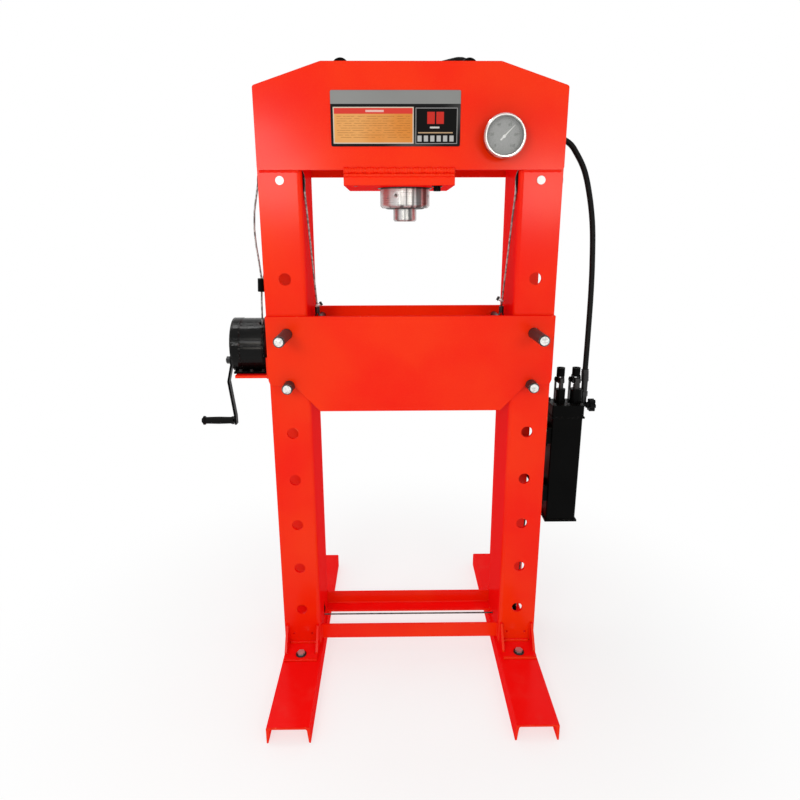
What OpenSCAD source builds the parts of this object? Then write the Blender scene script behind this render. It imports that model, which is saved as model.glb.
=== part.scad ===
// Floor-standing H-frame hydraulic shop press with a hand pump, a rope-lifted bed and a hand winch.
// Millimetres. Floor at Z = 0, +Z up, the front of the press faces -Y, the middle of the frame is X = 0.

/* [Frame] */
// Height of the crown's flat top above the floor
press_h = 1745; // [1650:1:1850]
// Width across the outer edges of the two posts
post_span = 800; // [760:1:860]
// Width of a post's front and rear flange
post_w = 115; // [108:1:130]
// Depth of a post's web, front to rear
post_d = 220; // [210:1:240]
// Sheet thickness of a post
post_t = 8; // [6:0.5:10]
// Outer bend radius of a post
post_bend_r = 12; // [10:0.5:16]
// Distance of a post's top below the crown's shoulder
post_top_gap = 30; // [20:1:60]

/* [Pin holes] */
// Height of the top pin hole
top_hole_z = 1213; // [1200:0.5:1225]
// Distance between pin holes
hole_pitch = 147.5; // [140:0.5:149]
// Number of pin holes in a flange
hole_count = 8; // [8:1:8]
// Diameter of a pin
pin_d = 30; // [24:0.5:32]
// Extra diameter of the holes in the posts
post_hole_play = 3; // [2:0.5:4]
// Extra diameter of the holes in the bed plates
bed_hole_play = 1; // [0.6:0.1:2]
// Length of a pin
pin_len = 400; // [360:1:420]
// How far the upper pins stand out of the bed's front
upper_pin_out = 125; // [80:1:130]
// How far the lower pins stand out of the bed's front
lower_pin_out = 42; // [30:1:60]
// Chamfer on the pin ends
pin_chamfer = 3; // [1:0.5:4]

/* [Crown] */
// Distance of the crown plates' ends inside the posts' outer edges
crown_inset = 3; // [0:0.5:30]
// Height of the crown plates
crown_h = 253; // [240:1:270]
// Width of the flat top of the crown
crown_top_w = 450; // [400:1:500]
// Drop from the flat top to the shoulders
shoulder_drop = 55; // [40:1:70]
// Thickness of the crown plates
crown_t = 16; // [12:0.5:20]
// Corner radius of the crown plates
crown_corner_r = 7; // [3:0.5:12]
// Width of a spacer bar between the crown plates
spacer_bar_w = 30; // [26:1:34]
// Height of a spacer bar
spacer_bar_h = 35; // [30:1:45]
// Depth of a spacer bar's top below the crown's top
spacer_bar_drop = 10; // [5:1:16]
// Distance of a lifting eye from the ram's axis
eye_reach = 172; // [165:1:180]
// Outer diameter of a lifting eye's ring
eye_od = 46; // [42:0.5:50]
// Thickness of a lifting eye's ring
eye_wire = 10; // [8:0.5:11]
// Diameter of a lifting eye's shank
eye_shank_d = 12; // [10:0.5:14]
// Depth of the tapped hole for a lifting eye
eye_tap = 25; // [20:1:28]

/* [Feet and rails] */
// Length of a foot, front to rear
foot_len = 908; // [860:1:980]
// Width of a foot channel
foot_w = 120; // [116:1:128]
// How far a foot sits inwards of its post's middle
foot_set = 4.5; // [0:0.5:6]
// Height of a foot channel
foot_h = 50; // [46:0.5:60]
// Web thickness of a foot channel
foot_t = 6; // [5:0.5:8]
// Flange thickness of a foot channel at its tip
foot_tip_t = 5; // [4:0.5:7]
// Flange thickness of a foot channel at its root
foot_root_t = 10; // [8:0.5:12]
// Width of a shoe bracket
shoe_w = 104; // [98:1:108]
// Thickness of a shoe bracket's plate
shoe_t = 9; // [6:0.5:11]
// Height of a shoe bracket's gussets above the foot
shoe_h = 76; // [70:1:80]
// Length of a shoe bracket's plate
shoe_len = 78; // [70:1:86]
// Thickness of a shoe bracket's gussets
gusset_t = 7; // [5:0.5:9]
// Diameter of a shoe bolt
shoe_bolt_d = 16; // [12:1:18]
// Distance of a shoe bolt from the post
shoe_bolt_reach = 58; // [54:1:60]
// Diameter of the small holes in a post's foot
shoe_hole_d = 7; // [5:0.5:9]
// Distance between the small holes
shoe_hole_gap = 58; // [50:1:62]
// Height of the small holes above the foot
shoe_hole_z = 42; // [36:1:50]
// Leg length of a cross rail angle
rail_leg = 50; // [44:1:54]
// Thickness of a cross rail angle
rail_t = 6; // [5:0.5:8]
// Height of a cross rail above the floor
rail_z = 64; // [60:0.5:70]
// Distance of a cross rail's outer face from the post's face
rail_inset = 15; // [12:0.5:18]

/* [Cylinder] */
// Offset of the ram from the middle of the frame
ram_x = -13; // [-20:0.5:0]
// Diameter of the ram
ram_d = 65; // [58:0.5:70]
// Length of ram that stands out of the collar
ram_out = 36; // [25:1:40]
// Stroke of the ram
ram_stroke = 180; // [120:5:180]
// Bore of the cylinder
cyl_bore = 85; // [85:0.5:92]
// Outer diameter of the cylinder
cyl_od = 120; // [112:1:130]
// Diameter of the cylinder's neck in the mount plate
cyl_neck_d = 104; // [100:0.5:110]
// Diameter of the cylinder's flange
cyl_flange_d = 150; // [140:1:170]
// Thickness of the cylinder's flange
cyl_flange_t = 18; // [14:0.5:24]
// Outer diameter of the collar ring
collar_d = 138; // [126:1:146]
// Height of the collar ring
collar_h = 53; // [46:1:58]
// Length of the gland that guides the ram
gland_len = 35; // [28:1:40]
// Height of the piston
piston_h = 28; // [20:1:34]
// Diameter of the return spring's wire
spring_wire = 6.5; // [5:0.25:7]
// Width of the mount plate
mount_w = 289; // [270:1:310]
// Offset of the mount plate from the middle of the frame
mount_x = -30; // [-38:0.5:-22]
// Thickness of the mount plate
mount_t = 38; // [30:0.5:44]
// Diameter of the open hole in the mount plate
mount_hole_d = 11; // [8:0.5:14]

/* [Gauge and label] */
// Place of the gauge across the crown
gauge_x = 232; // [222:1:242]
// Height of the gauge above the crown's lower edge
gauge_rise = 75; // [66:1:90]
// Diameter of the gauge's bezel
bezel_d = 105; // [98:0.5:110]
// Depth of the gauge's case
case_depth = 34; // [30:0.5:40]
// Distance of the case from the crown
gauge_stem_len = 12; // [8:0.5:18]
// Diameter of the gauge's stem
gauge_stem_d = 20; // [16:0.5:24]
// Width of the label plate
label_w = 328; // [300:1:340]
// Height of the label plate
label_h = 131; // [120:1:140]
// Thickness of the label plate
label_t = 1.5; // [1:0.1:3]
// Place of the label plate's middle across the crown
label_x = -39; // [-50:0.5:-30]
// Height of the label plate's lower edge above the crown's lower edge
label_rise = 56; // [50:1:66]

/* [Bed] */
// Distance of the bed plates' ends outside the posts' outer edges
bed_over = 0; // [-10:0.5:6]
// Thickness of the bed plates
bed_t = 16; // [12:0.5:20]
// Gap between a bed plate and the posts
bed_gap = 2; // [1:0.25:4]
// Height of the bed's top above the upper pins
bed_rise = 48; // [40:1:60]
// Depth of the bed's belly below the lower pins
bed_belly = 75; // [60:1:76]
// Distance of the bed's flat bottom from each end of the bed
bed_bottom_in = 142.5; // [130:0.5:160]
// Distance of the bed's lower chamfers from each end of the bed
bed_chamfer_in = 72; // [70:0.5:77]
// Corner cut at the bed's outer lower corners
bed_corner = 6; // [3:0.5:10]
// Distance of a bed spacer plate's middle from the posts' inner face
bed_spacer_in = 70; // [45:1:105]
// Thickness of a bed spacer plate
bed_spacer_t = 12; // [8:0.5:16]
// Height of a bed spacer plate
bed_spacer_h = 185; // [150:1:190]

/* [Rope lift] */
// Diameter of the wire rope
rope_d = 5; // [4:0.25:5]
// Room between a rope and the post's inner face
rope_room = 1; // [0.6:0.1:2]
// Distance of the sheave axles below the crown
axle_drop = 24.5; // [22:0.5:30]
// Diameter of a top axle
axle_d = 22; // [18:0.5:25]
// Distance of the lift sheaves in front of the middle
lift_sheave_y = 85; // [78:0.5:88]
// Rope radius on the guide and bottom sheaves
small_sheave_r = 20; // [19.5:0.1:20.4]
// Width of a sheave
sheave_w = 13; // [11:0.5:15]
// Diameter of a bottom axle
small_axle_d = 14; // [10:0.5:16]
// Height of the cross rope above the floor
cross_rope_z = 86; // [82:0.5:92]
// Distance of a lift rope's bed end from the posts' inner face
bed_eye_in = 17; // [17:0.5:23]
// Distance of a lift rope's bed end in front of the middle
bed_eye_y = 20; // [10:1:40]
// Diameter of the rope bars in the bed
rope_bar_d = 20; // [16:0.5:20]
// Length of the clip on a lift rope at the bed
bed_clip_len = 18; // [14:1:24]
// Length of the clip above the winch
clip_len = 36; // [30:1:40]
// Diameter of a rope clip
clip_d = 11; // [9:0.5:12]

/* [Winch] */
// Height of the winch drum's axis
winch_z = 1017; // [1005:1:1030]
// Distance of the drum's axis in front of the middle
winch_y = 20; // [10:0.5:20]
// Radius of the winch's cover
cover_r = 80; // [76:0.5:82]
// Sheet thickness of the cover
cover_t = 2.5; // [2:0.25:3]
// Distance of the cover's outer end from the post
cover_reach = 111; // [108:0.5:118]
// Length of the cover's gear half
gear_cover_len = 26; // [22:0.5:30]
// Rope radius on the drum
drum_rope_r = 38; // [34:0.5:40]
// Diameter of the drum's shaft
drum_shaft_d = 20; // [16:0.5:24]
// Module of the winch gears
gear_module = 2.3; // [2.2:0.05:2.35]
// Teeth of the drum gear
drum_teeth = 36; // [36:12:36]
// Teeth of the pinion
pinion_teeth = 12; // [12:12:12]
// Diameter of the crank shaft
crank_shaft_d = 16; // [12:0.5:16]
// Height of the drum's axis above the crank shaft
crank_drop = 37; // [30:0.5:44]
// Length of the crank arm
crank_len = 183; // [160:1:200]
// Width of the crank arm
crank_w = 22; // [18:0.5:26]
// Thickness of the crank arm
crank_t = 6; // [5:0.5:8]
// Outward bend of the crank arm
crank_bend = 12; // [6:0.5:18]
// Length of the crank grip
grip_len = 92; // [80:1:110]
// Diameter of the crank grip
grip_d = 20; // [17:0.5:26]
// Distance of the shelf's end from the cover's end
shelf_short = 11; // [5:0.5:20]
// Height of the shelf's back leg
shelf_leg = 52; // [40:1:60]
// Thickness of the winch shelf
shelf_t = 8; // [6:0.5:10]

/* [Pump] */
// Gap between the right post and the oil tank
tank_gap = 20; // [16:0.5:26]
// Height of a bracket strap
strap_h = 50; // [40:1:55]
// Thickness of a bracket strap
strap_t = 5; // [4:0.5:8]
// Height of the lower strap above the tank's underside
strap_low = 60; // [40:1:70]
// Height of the upper strap above the tank's underside
strap_high = 245; // [180:1:250]
// Width of the oil tank
tank_w = 90; // [84:0.5:100]
// Depth of the oil tank
tank_d = 78; // [70:0.5:90]
// Distance of the pump's middle in front of the middle
pump_y = 54; // [48:0.5:60]
// Height of the tank's underside
tank_z = 480; // [460:1:500]
// Height of the oil tank
tank_h = 326; // [300:1:345]
// Wall thickness of the oil tank
tank_t = 3; // [2:0.25:4]
// Overhang of the head and the bottom flange over the tank
tank_lip = 4; // [2:0.5:6]
// Height of the pump head
head_h = 39; // [34:0.5:46]
// Height of the pump barrels
barrel_h = 42; // [40:0.5:50]
// Diameter of the fast piston's barrel
fast_barrel_d = 36; // [32:0.5:37]
// Diameter of the power piston's barrel
power_barrel_d = 27; // [25:0.5:28]
// Offset of the pump units from the tank's middle
unit_shift = 7; // [4:0.5:7]
// Half the distance between the pump units
power_offset = 23; // [22.5:0.5:24]
// Distance of a lever's pivot behind its piston
lever_arm = 24; // [22:0.5:26]
// Swing of a lever to each side
lever_swing = 25; // [15:1:25]
// Bore of a lever socket
socket_bore = 18; // [15:0.5:18]
// Wall of a lever socket
socket_wall = 3; // [2:0.25:3]
// Depth of a lever socket
socket_depth = 22; // [18:0.5:34]
// Diameter of the release knob
knob_d = 39; // [34:0.5:44]
// Thickness of the release knob
knob_t = 16; // [13:0.5:18]
// Length of the release knob's stem
knob_stem_len = 22; // [21:0.5:30]
// Diameter of the hydraulic hose
hose_d = 16; // [14:0.5:18]

/* [Hidden] */
$fn = 48;
eps = 0.01;
run_play = 0.05;
side_play = 0.4;
seat_play = 0.1;

paint_red = [0.87, 0.10, 0.04];
steel_bright = [0.80, 0.80, 0.80];
steel_dark = [0.16, 0.16, 0.17];
black_paint = [0.04, 0.04, 0.045];
wire_grey = [0.45, 0.45, 0.46];
rubber_black = [0.03, 0.03, 0.03];

// Planes and heights of the frame
post_x = post_span / 2 - post_w / 2;
post_in_x = post_span / 2 - post_w;
post_face_y = post_d / 2;
crown_z = press_h - crown_h;
shoulder_z = press_h - shoulder_drop;
post_top_z = shoulder_z - post_top_gap;
crown_face_y = post_face_y + crown_t;
upper_pin_z = top_hole_z - hole_pitch;
lower_pin_z = top_hole_z - 2 * hole_pitch;
bed_in_y = post_face_y + bed_gap;
crown_w = post_span - 2 * crown_inset;
bed_w = post_span + 2 * bed_over;
bed_bottom_w = bed_w - 2 * bed_bottom_in;
bed_chamfer_w = bed_w - 2 * bed_chamfer_in;
bed_spacer_x = post_in_x - bed_spacer_in;
bed_eye_x = post_in_x - bed_eye_in;
bed_face_y = bed_in_y + bed_t;
bed_top_z = upper_pin_z + bed_rise;
bed_bottom_z = lower_pin_z - bed_belly;
post_hole_d = pin_d + post_hole_play;
bed_hole_d = pin_d + bed_hole_play;

// Cylinder stack, from the mount plate up and down
mount_z = crown_z - mount_t;
collar_z = mount_z - collar_h;
neck_z = collar_z + 4;
gland_top_z = neck_z + gland_len;
cyl_top_z = press_h - 10;
cyl_cap_t = 13;
piston_top_z = cyl_top_z - cyl_cap_t - 4;
piston_z = piston_top_z - piston_h;
ram_nose_z = collar_z - ram_out;
spring_turns = 8;

// Spacer bars and lifting eyes
bar_top_z = press_h - spacer_bar_drop;
eye_x = [ram_x - eye_reach, ram_x + eye_reach];

// Gauge stack, from the crown forwards
gauge_z = crown_z + gauge_rise;
case_back_y = crown_face_y + gauge_stem_len;
case_front_y = case_back_y + case_depth;
case_od = bezel_d - 5;
case_floor_t = 12;
dial_t = 1.5;
dial_y = case_back_y + case_depth - 14;
needle_shaft_d = 4;
needle_angle = 45;
bezel_len = 15;
bezel_lip = 6;
glass_t = 2;

// Rope lift
axle_z = crown_z - axle_drop;
lift_rope_x = post_in_x - rope_room - rope_d / 2;
lift_sheave_r = post_x - lift_rope_x;
groove_depth = rope_d / 2 + 0.5;
left_bottom_x = post_in_x + post_bend_r + small_axle_d / 2 + 0.5;
bottom_axle_z = cross_rope_z + small_sheave_r;
web_slot_w = sheave_w + 8;
rope_lead = 0.5 * lift_sheave_r;

// Winch
winch_end_x = post_span / 2 + cover_reach;
cover_in_x = post_span / 2 + 17;
cheek_t = 5;
winch_floor_z = winch_z - 0.85 * cover_r;
base_t = 6;
shelf_top_z = winch_floor_z - base_t;
drum_flange_r = 46;
drum_flange_t = 3;
drum_in_x = cover_in_x + drum_flange_t;
drum_out_x = winch_end_x - 36;
drum_rope_x = drum_in_x + rope_d / 2 + 1;
drum_core_r = drum_rope_r - rope_d / 2 - 0.5;
gear_w = 12;
gear_x = winch_end_x - 17;
gear_gap = gear_module * (drum_teeth + pinion_teeth) / 2;
crank_y = winch_y + sqrt(gear_gap * gear_gap - crank_drop * crank_drop);
crank_z = winch_z - crank_drop;
mesh_angle = atan2(-crank_drop, winch_y - crank_y);
crank_x = winch_end_x + 3;
grip_spindle_d = 9;
grip_head_t = 4;
grip_z = crank_z - crank_len;

// Pump
tank_x = post_span / 2 + tank_gap;
tank_mid_x = tank_x + tank_w / 2;
tank_top_z = tank_z + tank_h;
head_top_z = tank_top_z + head_h;
barrel_top_z = head_top_z + barrel_h;
lever_z = barrel_top_z + 23;
lever_pin_d = 8;
pivot_pin_d = 10;
piston_d = [20, 13];
tongue_t = [12, 9];
barrel_d = [fast_barrel_d, power_barrel_d];
unit_x = [tank_mid_x + unit_shift + power_offset, tank_mid_x + unit_shift - power_offset];
cheek_w = [4, 3];
ear_w = [4, 3];
tongue_slack = lever_arm * (1 - cos(lever_swing)) + 0.6;
tongue_lift = 0.9;
knob_y = pump_y;
knob_z = head_top_z - 9;
knob_x = tank_x + tank_w + tank_lip;
stem_in_x = unit_x[0] + piston_d[0] / 2 + 2.5;

// Hose ends and the hoses' routes
nipple_z = crown_z + 99;
nipple_y = 45;
nipple_end_x = post_span / 2 + 8;
nipple_in_x = post_in_x - 8;
elbow_x = tank_x + tank_w + 15;
elbow_y = 19 - pump_y;
elbow_top_z = head_top_z + 60;
port_x = ram_x + 33;
port_y = 35;
port_z = cyl_top_z + 31;
port_end_x = port_x + 25;
hose_bend_r = 70;
hose_rise = 21;
inner_drop_x = nipple_in_x - 2 - hose_bend_r;
inner_top_r = hose_bend_r + 2;

// Place of pin hole i above the floor
function hole_z(i) = top_hole_z - i * hole_pitch;

// Points between two ends, each at a fraction of the way and set aside by [fraction, x, y]
function bowed(a, b, set) = [for (p = set) a + p[0] * (b - a) + [p[1], p[2], 0]];

// Smooth line through a list of points, with n steps between each two
function smooth(p, n) =
    let (last = len(p) - 1)
    concat([
        for (i = [0 : last - 1], j = [0 : n - 1])
            let (a = p[max(i - 1, 0)], b = p[i], c = p[i + 1], d = p[min(i + 2, last)], t = j / n)
            b + ((c - a) * t + (2 * a - 5 * b + 4 * c - d) * t * t + (3 * b - a - 3 * c + d) * t * t * t) / 2
    ], [p[last]]);

// Unit vector
function unit(v) = v / norm(v);

// Points of a round corner of radius r at b, between its neighbours a and c
function corner(a, b, c, r, n) =
    let (u = unit(a - b), v = unit(c - b), half = acos(u * v) / 2)
    let (mid = b + unit(u + v) * r / sin(half))
    let (p = b + u * r / tan(half) - mid, q = b + v * r / tan(half) - mid)
    let (start = atan2(p[1], p[0]), turn = atan2(q[1], q[0]) - start)
    let (sweep = turn > 180 ? turn - 360 : turn < -180 ? turn + 360 : turn)
    [for (i = [0 : n]) mid + r * [cos(start + sweep * i / n), sin(start + sweep * i / n)]];

// Outline with round corners: each point is [x, y, radius]
function rounded(p, n = 5) = [
    for (i = [0 : len(p) - 1])
        let (a = p[(i + len(p) - 1) % len(p)], b = p[i], c = p[(i + 1) % len(p)])
        each (b[2] == 0 ? [[b[0], b[1]]]
            : corner([a[0], a[1]], [b[0], b[1]], [c[0], c[1]], b[2], n))
];

// Points of an arc in the XZ plane at depth y
function arc_points(x, y, z, r, from, to, n) =
    [for (i = [0 : n]) let (a = from + (to - from) * i / n) [x + r * cos(a), y, z + r * sin(a)]];

// A round tube of diameter d along a list of points that never runs along Y
module tube(p, d, sides) {
    last = len(p) - 1;
    rings = [
        for (i = [0 : last])
            let (t = unit(p[min(i + 1, last)] - p[max(i - 1, 0)]))
            let (s = unit(cross(t, [0, 1, 0])), u = cross(s, t))
            for (j = [0 : sides - 1])
                let (a = 360 * j / sides) p[i] + d / 2 * (cos(a) * s + sin(a) * u)
    ];
    walls = [
        for (i = [0 : last - 1], j = [0 : sides - 1])
            let (k = (j + 1) % sides)
            [i * sides + j, i * sides + k, (i + 1) * sides + k, (i + 1) * sides + j]
    ];
    near_cap = [for (j = [sides - 1 : -1 : 0]) j];
    far_cap = [for (j = [0 : sides - 1]) last * sides + j];
    polyhedron(points = rings, faces = concat(walls, [near_cap, far_cap]));
}

// A cylinder along Y that starts at y and runs towards the rear
module rod_y(x, y, z, d, len) {
    translate([x, y + len, z])
        rotate([90, 0, 0])
            cylinder(d = d, h = len);
}

// A cylinder along X that starts at x and runs to the right
module rod_x(x, y, z, d, len) {
    translate([x, y, z])
        rotate([0, 90, 0])
            cylinder(d = d, h = len);
}

// An outline in X and Z, pushed from y towards the rear
module plate_y(points, y, t) {
    translate([0, y + t, 0])
        rotate([90, 0, 0])
            linear_extrude(t)
                polygon(points);
}

// An outline in Y and Z, pushed from x to the right
module plate_x(points, x, t) {
    translate([x, 0, 0])
        rotate([90, 0, 90])
            linear_extrude(t)
                polygon(points);
}

// A block from one corner to the other
module block(a, b) {
    translate(a)
        cube(b - a);
}

// Foot: inverted channel with tapered flanges, drilled for the shoe bolts
module foot(side) {
    h = foot_w / 2;
    color(paint_red)
        difference() {
            translate([side * (post_x - foot_set), foot_len / 2, 0])
                rotate([90, 0, 0])
                    linear_extrude(foot_len)
                        polygon(rounded([
                            [-h, 0, 0], [-h, foot_h, 4], [h, foot_h, 4], [h, 0, 0],
                            [h - foot_tip_t, 0, 2], [h - foot_root_t, foot_h - foot_t, 5],
                            [-h + foot_root_t, foot_h - foot_t, 5], [-h + foot_tip_t, 0, 2]
                        ], 4));
            for (y = [-1, 1])
                translate([side * post_x, y * (post_face_y + shoe_bolt_reach), 0])
                    cylinder(d = shoe_bolt_d + 1, h = foot_h + 1);
        }
}

module left_foot() { foot(-1); }

module right_foot() { foot(1); }

// Post: folded channel, web inside and open outwards, with two rows of pin holes
module post_channel() {
    out = post_span / 2;
    t = post_t;
    inner_r = max(post_bend_r - t, 1);
    difference() {
        translate([0, 0, foot_h])
            linear_extrude(post_top_z - foot_h)
                polygon(rounded([
                    [out, -post_face_y, 0], [post_in_x, -post_face_y, post_bend_r],
                    [post_in_x, post_face_y, post_bend_r], [out, post_face_y, 0],
                    [out, post_face_y - t, 0], [post_in_x + t, post_face_y - t, inner_r],
                    [post_in_x + t, -post_face_y + t, inner_r], [out, -post_face_y + t, 0]
                ]));
        for (i = [0 : hole_count - 1])
            rod_y(post_x, -post_face_y - 1, hole_z(i), post_hole_d, post_d + 2);
        for (x = [-shoe_hole_gap / 2, shoe_hole_gap / 2])
            rod_y(post_x + x, -post_face_y - 1, foot_h + shoe_hole_z, shoe_hole_d, post_d + 2);
        rod_y(post_x, -post_face_y - 1, axle_z, axle_d + 2 * seat_play, post_d + 2);
        block([post_in_x - 1, -lift_sheave_y - web_slot_w / 2, axle_z - lift_sheave_r + 12],
              [post_in_x + t + 1, -lift_sheave_y + web_slot_w / 2, axle_z + lift_sheave_r - 12]);
    }
}

module left_post() {
    color(paint_red)
        difference() {
            mirror([1, 0, 0])
                post_channel();
            block([-post_in_x - post_t - 1, -web_slot_w / 2, cross_rope_z - 9],
                  [-post_in_x + 1, web_slot_w / 2, bottom_axle_z + small_sheave_r + 9]);
        }
}

module right_post() {
    color(paint_red)
        difference() {
            post_channel();
            rod_x(post_in_x - 1, 0, cross_rope_z, rope_d + 10, post_t + 2);
            rod_x(post_in_x - 1, nipple_y, nipple_z, hose_d + 2 + 2 * seat_play, post_t + 2);
        }
}

// Shoe: a flat plate welded to the post's face, with two gussets and a bolt into the foot
module shoe() {
    y = post_face_y;
    h = shoe_w / 2;
    tip = y + shoe_len - 20;
    difference() {
        union() {
            block([-h, y, foot_h], [h, y + shoe_len, foot_h + shoe_t]);
            for (x = [-h, h - gusset_t])
                plate_x([
                    [y, foot_h + shoe_t - 1], [tip, foot_h + shoe_t - 1], [tip, foot_h + shoe_t + 6],
                    [y + 9, foot_h + shoe_h], [y, foot_h + shoe_h]
                ], x, gusset_t);
        }
        translate([0, y + shoe_bolt_reach, foot_h - 1])
            cylinder(d = shoe_bolt_d + 1, h = shoe_t + 2);
    }
}

module shoe_brackets() {
    color(paint_red)
        for (x = [-post_x, post_x], turn = [0, 180])
            translate([x, 0, 0])
                rotate([0, 0, turn])
                    shoe();
}

// Shoe bolts: hexagon head above the shoe, nut under the foot's web
module shoe_bolts() {
    color(steel_bright)
        for (x = [-post_x, post_x], side = [-1, 1])
            translate([x, side * (post_face_y + shoe_bolt_reach), 0]) {
                translate([0, 0, foot_h - foot_t - 20])
                    cylinder(d = shoe_bolt_d, h = foot_t + shoe_t + 20 + 1);
                translate([0, 0, foot_h + shoe_t])
                    cylinder(d = 1.5 * shoe_bolt_d, h = 0.6 * shoe_bolt_d, $fn = 6);
                translate([0, 0, foot_h - foot_t - 13])
                    cylinder(d = 1.5 * shoe_bolt_d, h = 13, $fn = 6);
            }
}

// Cross rail: an angle between the webs, upright leg outside and flat leg pointing inwards
module rail(side) {
    y = post_face_y - rail_inset;
    color(paint_red)
        plate_x(rounded([
            [side * y, rail_z, 0], [side * y, rail_z + rail_leg, 0],
            [side * (y - rail_t), rail_z + rail_leg, 2], [side * (y - rail_t), rail_z + rail_t, 5],
            [side * (y - rail_leg), rail_z + rail_t, 2], [side * (y - rail_leg), rail_z, 0]
        ]), -post_in_x, 2 * post_in_x);
}

module front_rail() { rail(-1); }

module rear_rail() { rail(1); }

// Outline of a crown plate
function crown_outline() =
    let (w = crown_w / 2, t = crown_top_w / 2, r = crown_corner_r)
    rounded([
        [-w, crown_z, r], [w, crown_z, r], [w, shoulder_z, r],
        [t, press_h, 2 * r], [-t, press_h, 2 * r], [-w, shoulder_z, r]
    ]);

module crown_front_plate() {
    color(paint_red)
        difference() {
            plate_y(crown_outline(), -crown_face_y, crown_t);
            rod_y(gauge_x, -crown_face_y - 1, gauge_z, gauge_stem_d + 2 * seat_play, crown_t + 2);
        }
}

module crown_rear_plate() {
    color(paint_red)
        plate_y(crown_outline(), post_face_y, crown_t);
}

// Spacer bars between the crown plates, tapped for the lifting eyes
module crown_spacers() {
    h = spacer_bar_w / 2;
    color(paint_red)
        for (x = eye_x)
            difference() {
                block([x - h, -post_face_y, bar_top_z - spacer_bar_h], [x + h, post_face_y, bar_top_z]);
                translate([x, 0, bar_top_z - eye_tap])
                    cylinder(d = eye_shank_d + 2 * seat_play, h = eye_tap + 1);
            }
}

// Lifting eyes: forged ring, collar and screwed shank
module lifting_eyes() {
    ring_r = (eye_od - eye_wire) / 2;
    color(black_paint)
        for (x = eye_x)
            translate([x, 0, bar_top_z]) {
                translate([0, 0, eye_od / 2 + 2])
                    rotate([90, 0, 0])
                        rotate_extrude()
                            translate([ring_r, 0])
                                circle(d = eye_wire, $fn = 24);
                cylinder(d1 = 2 * eye_shank_d, d2 = eye_shank_d + 2, h = 7);
                translate([0, 0, 3 - eye_tap])
                    cylinder(d = eye_shank_d, h = eye_tap - 2);
            }
}

// Thick plate under the crown that carries the cylinder
module cylinder_mount_plate() {
    w = mount_w / 2;
    color(paint_red)
        difference() {
            block([mount_x - w, -crown_face_y, mount_z], [mount_x + w, crown_face_y, crown_z]);
            translate([ram_x, 0, mount_z - 1])
                cylinder(d = cyl_neck_d + 2 * seat_play, h = mount_t + 2, $fn = 96);
            translate([mount_x - w + 33, -crown_face_y + 24, mount_z - 1])
                cylinder(d = mount_hole_d, h = mount_t + 2);
        }
}

// Cylinder: flanged barrel with a gland at its foot and a closed top
module cylinder_barrel() {
    gland_r = ram_d / 2 + run_play;
    color(steel_dark)
        difference() {
            translate([ram_x, 0, 0])
                rotate_extrude($fn = 96)
                    polygon([
                        [gland_r, neck_z], [cyl_neck_d / 2, neck_z], [cyl_neck_d / 2, crown_z],
                        [cyl_flange_d / 2, crown_z], [cyl_flange_d / 2, crown_z + cyl_flange_t],
                        [cyl_od / 2, crown_z + cyl_flange_t], [cyl_od / 2, cyl_top_z - 4],
                        [cyl_od / 2 - 4, cyl_top_z], [0, cyl_top_z], [0, cyl_top_z - cyl_cap_t],
                        [cyl_bore / 2, cyl_top_z - cyl_cap_t], [cyl_bore / 2, gland_top_z],
                        [gland_r, gland_top_z]
                    ]);
            translate([port_x, port_y, cyl_top_z - cyl_cap_t - 1])
                cylinder(d = 8, h = cyl_cap_t + 2);
        }
}

// Ring nut on the cylinder's neck, with holes for a pin spanner
module cylinder_collar() {
    r = collar_d / 2;
    color(steel_bright)
        difference() {
            translate([ram_x, 0, 0])
                rotate_extrude($fn = 96)
                    polygon([
                        [cyl_neck_d / 2 + seat_play, mount_z], [r - 3, mount_z], [r, mount_z - 3],
                        [r, collar_z + 6], [r - 5, collar_z], [ram_d / 2 + 4, collar_z],
                        [ram_d / 2 + 4, neck_z - seat_play], [cyl_neck_d / 2 + seat_play, neck_z - seat_play]
                    ]);
            for (a = [45 : 90 : 315])
                translate([ram_x, 0, mount_z - 0.4 * collar_h])
                    rotate([0, 0, a + 23])
                        rotate([0, 90, 0])
                            translate([0, 0, cyl_neck_d / 2 + 4])
                                cylinder(d = 8, h = 40, $fn = 24);
        }
}

// Ram with its piston turned from one bar
module ram() {
    r = ram_d / 2;
    color(steel_bright)
        translate([ram_x, 0, 0])
            rotate_extrude($fn = 96)
                polygon([
                    [0, ram_nose_z], [r - 4, ram_nose_z], [r, ram_nose_z + 4], [r, piston_z],
                    [cyl_bore / 2 - run_play, piston_z], [cyl_bore / 2 - run_play, piston_top_z - 2],
                    [cyl_bore / 2 - 2, piston_top_z], [0, piston_top_z]
                ]);
}

// Return spring between the gland and the piston
module return_spring() {
    mean_r = (ram_d + cyl_bore) / 4;
    low = gland_top_z + spring_wire / 2 + 0.3;
    high = piston_z - spring_wire / 2 - 0.3;
    steps = 14;
    turns = spring_turns * steps;
    color(steel_dark)
        tube([
            for (i = [0 : turns])
                let (a = 360 * i / steps)
                [ram_x + mean_r * cos(a), mean_r * sin(a), low + (high - low) * i / turns]
        ], spring_wire, 6);
}

// A turned piece round the gauge's axis: points are [radius, distance in front of the middle]
module gauge_turned(points) {
    translate([gauge_x, 0, gauge_z])
        rotate([90, 0, 0])
            rotate_extrude($fn = 72)
                polygon(points);
}

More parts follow.
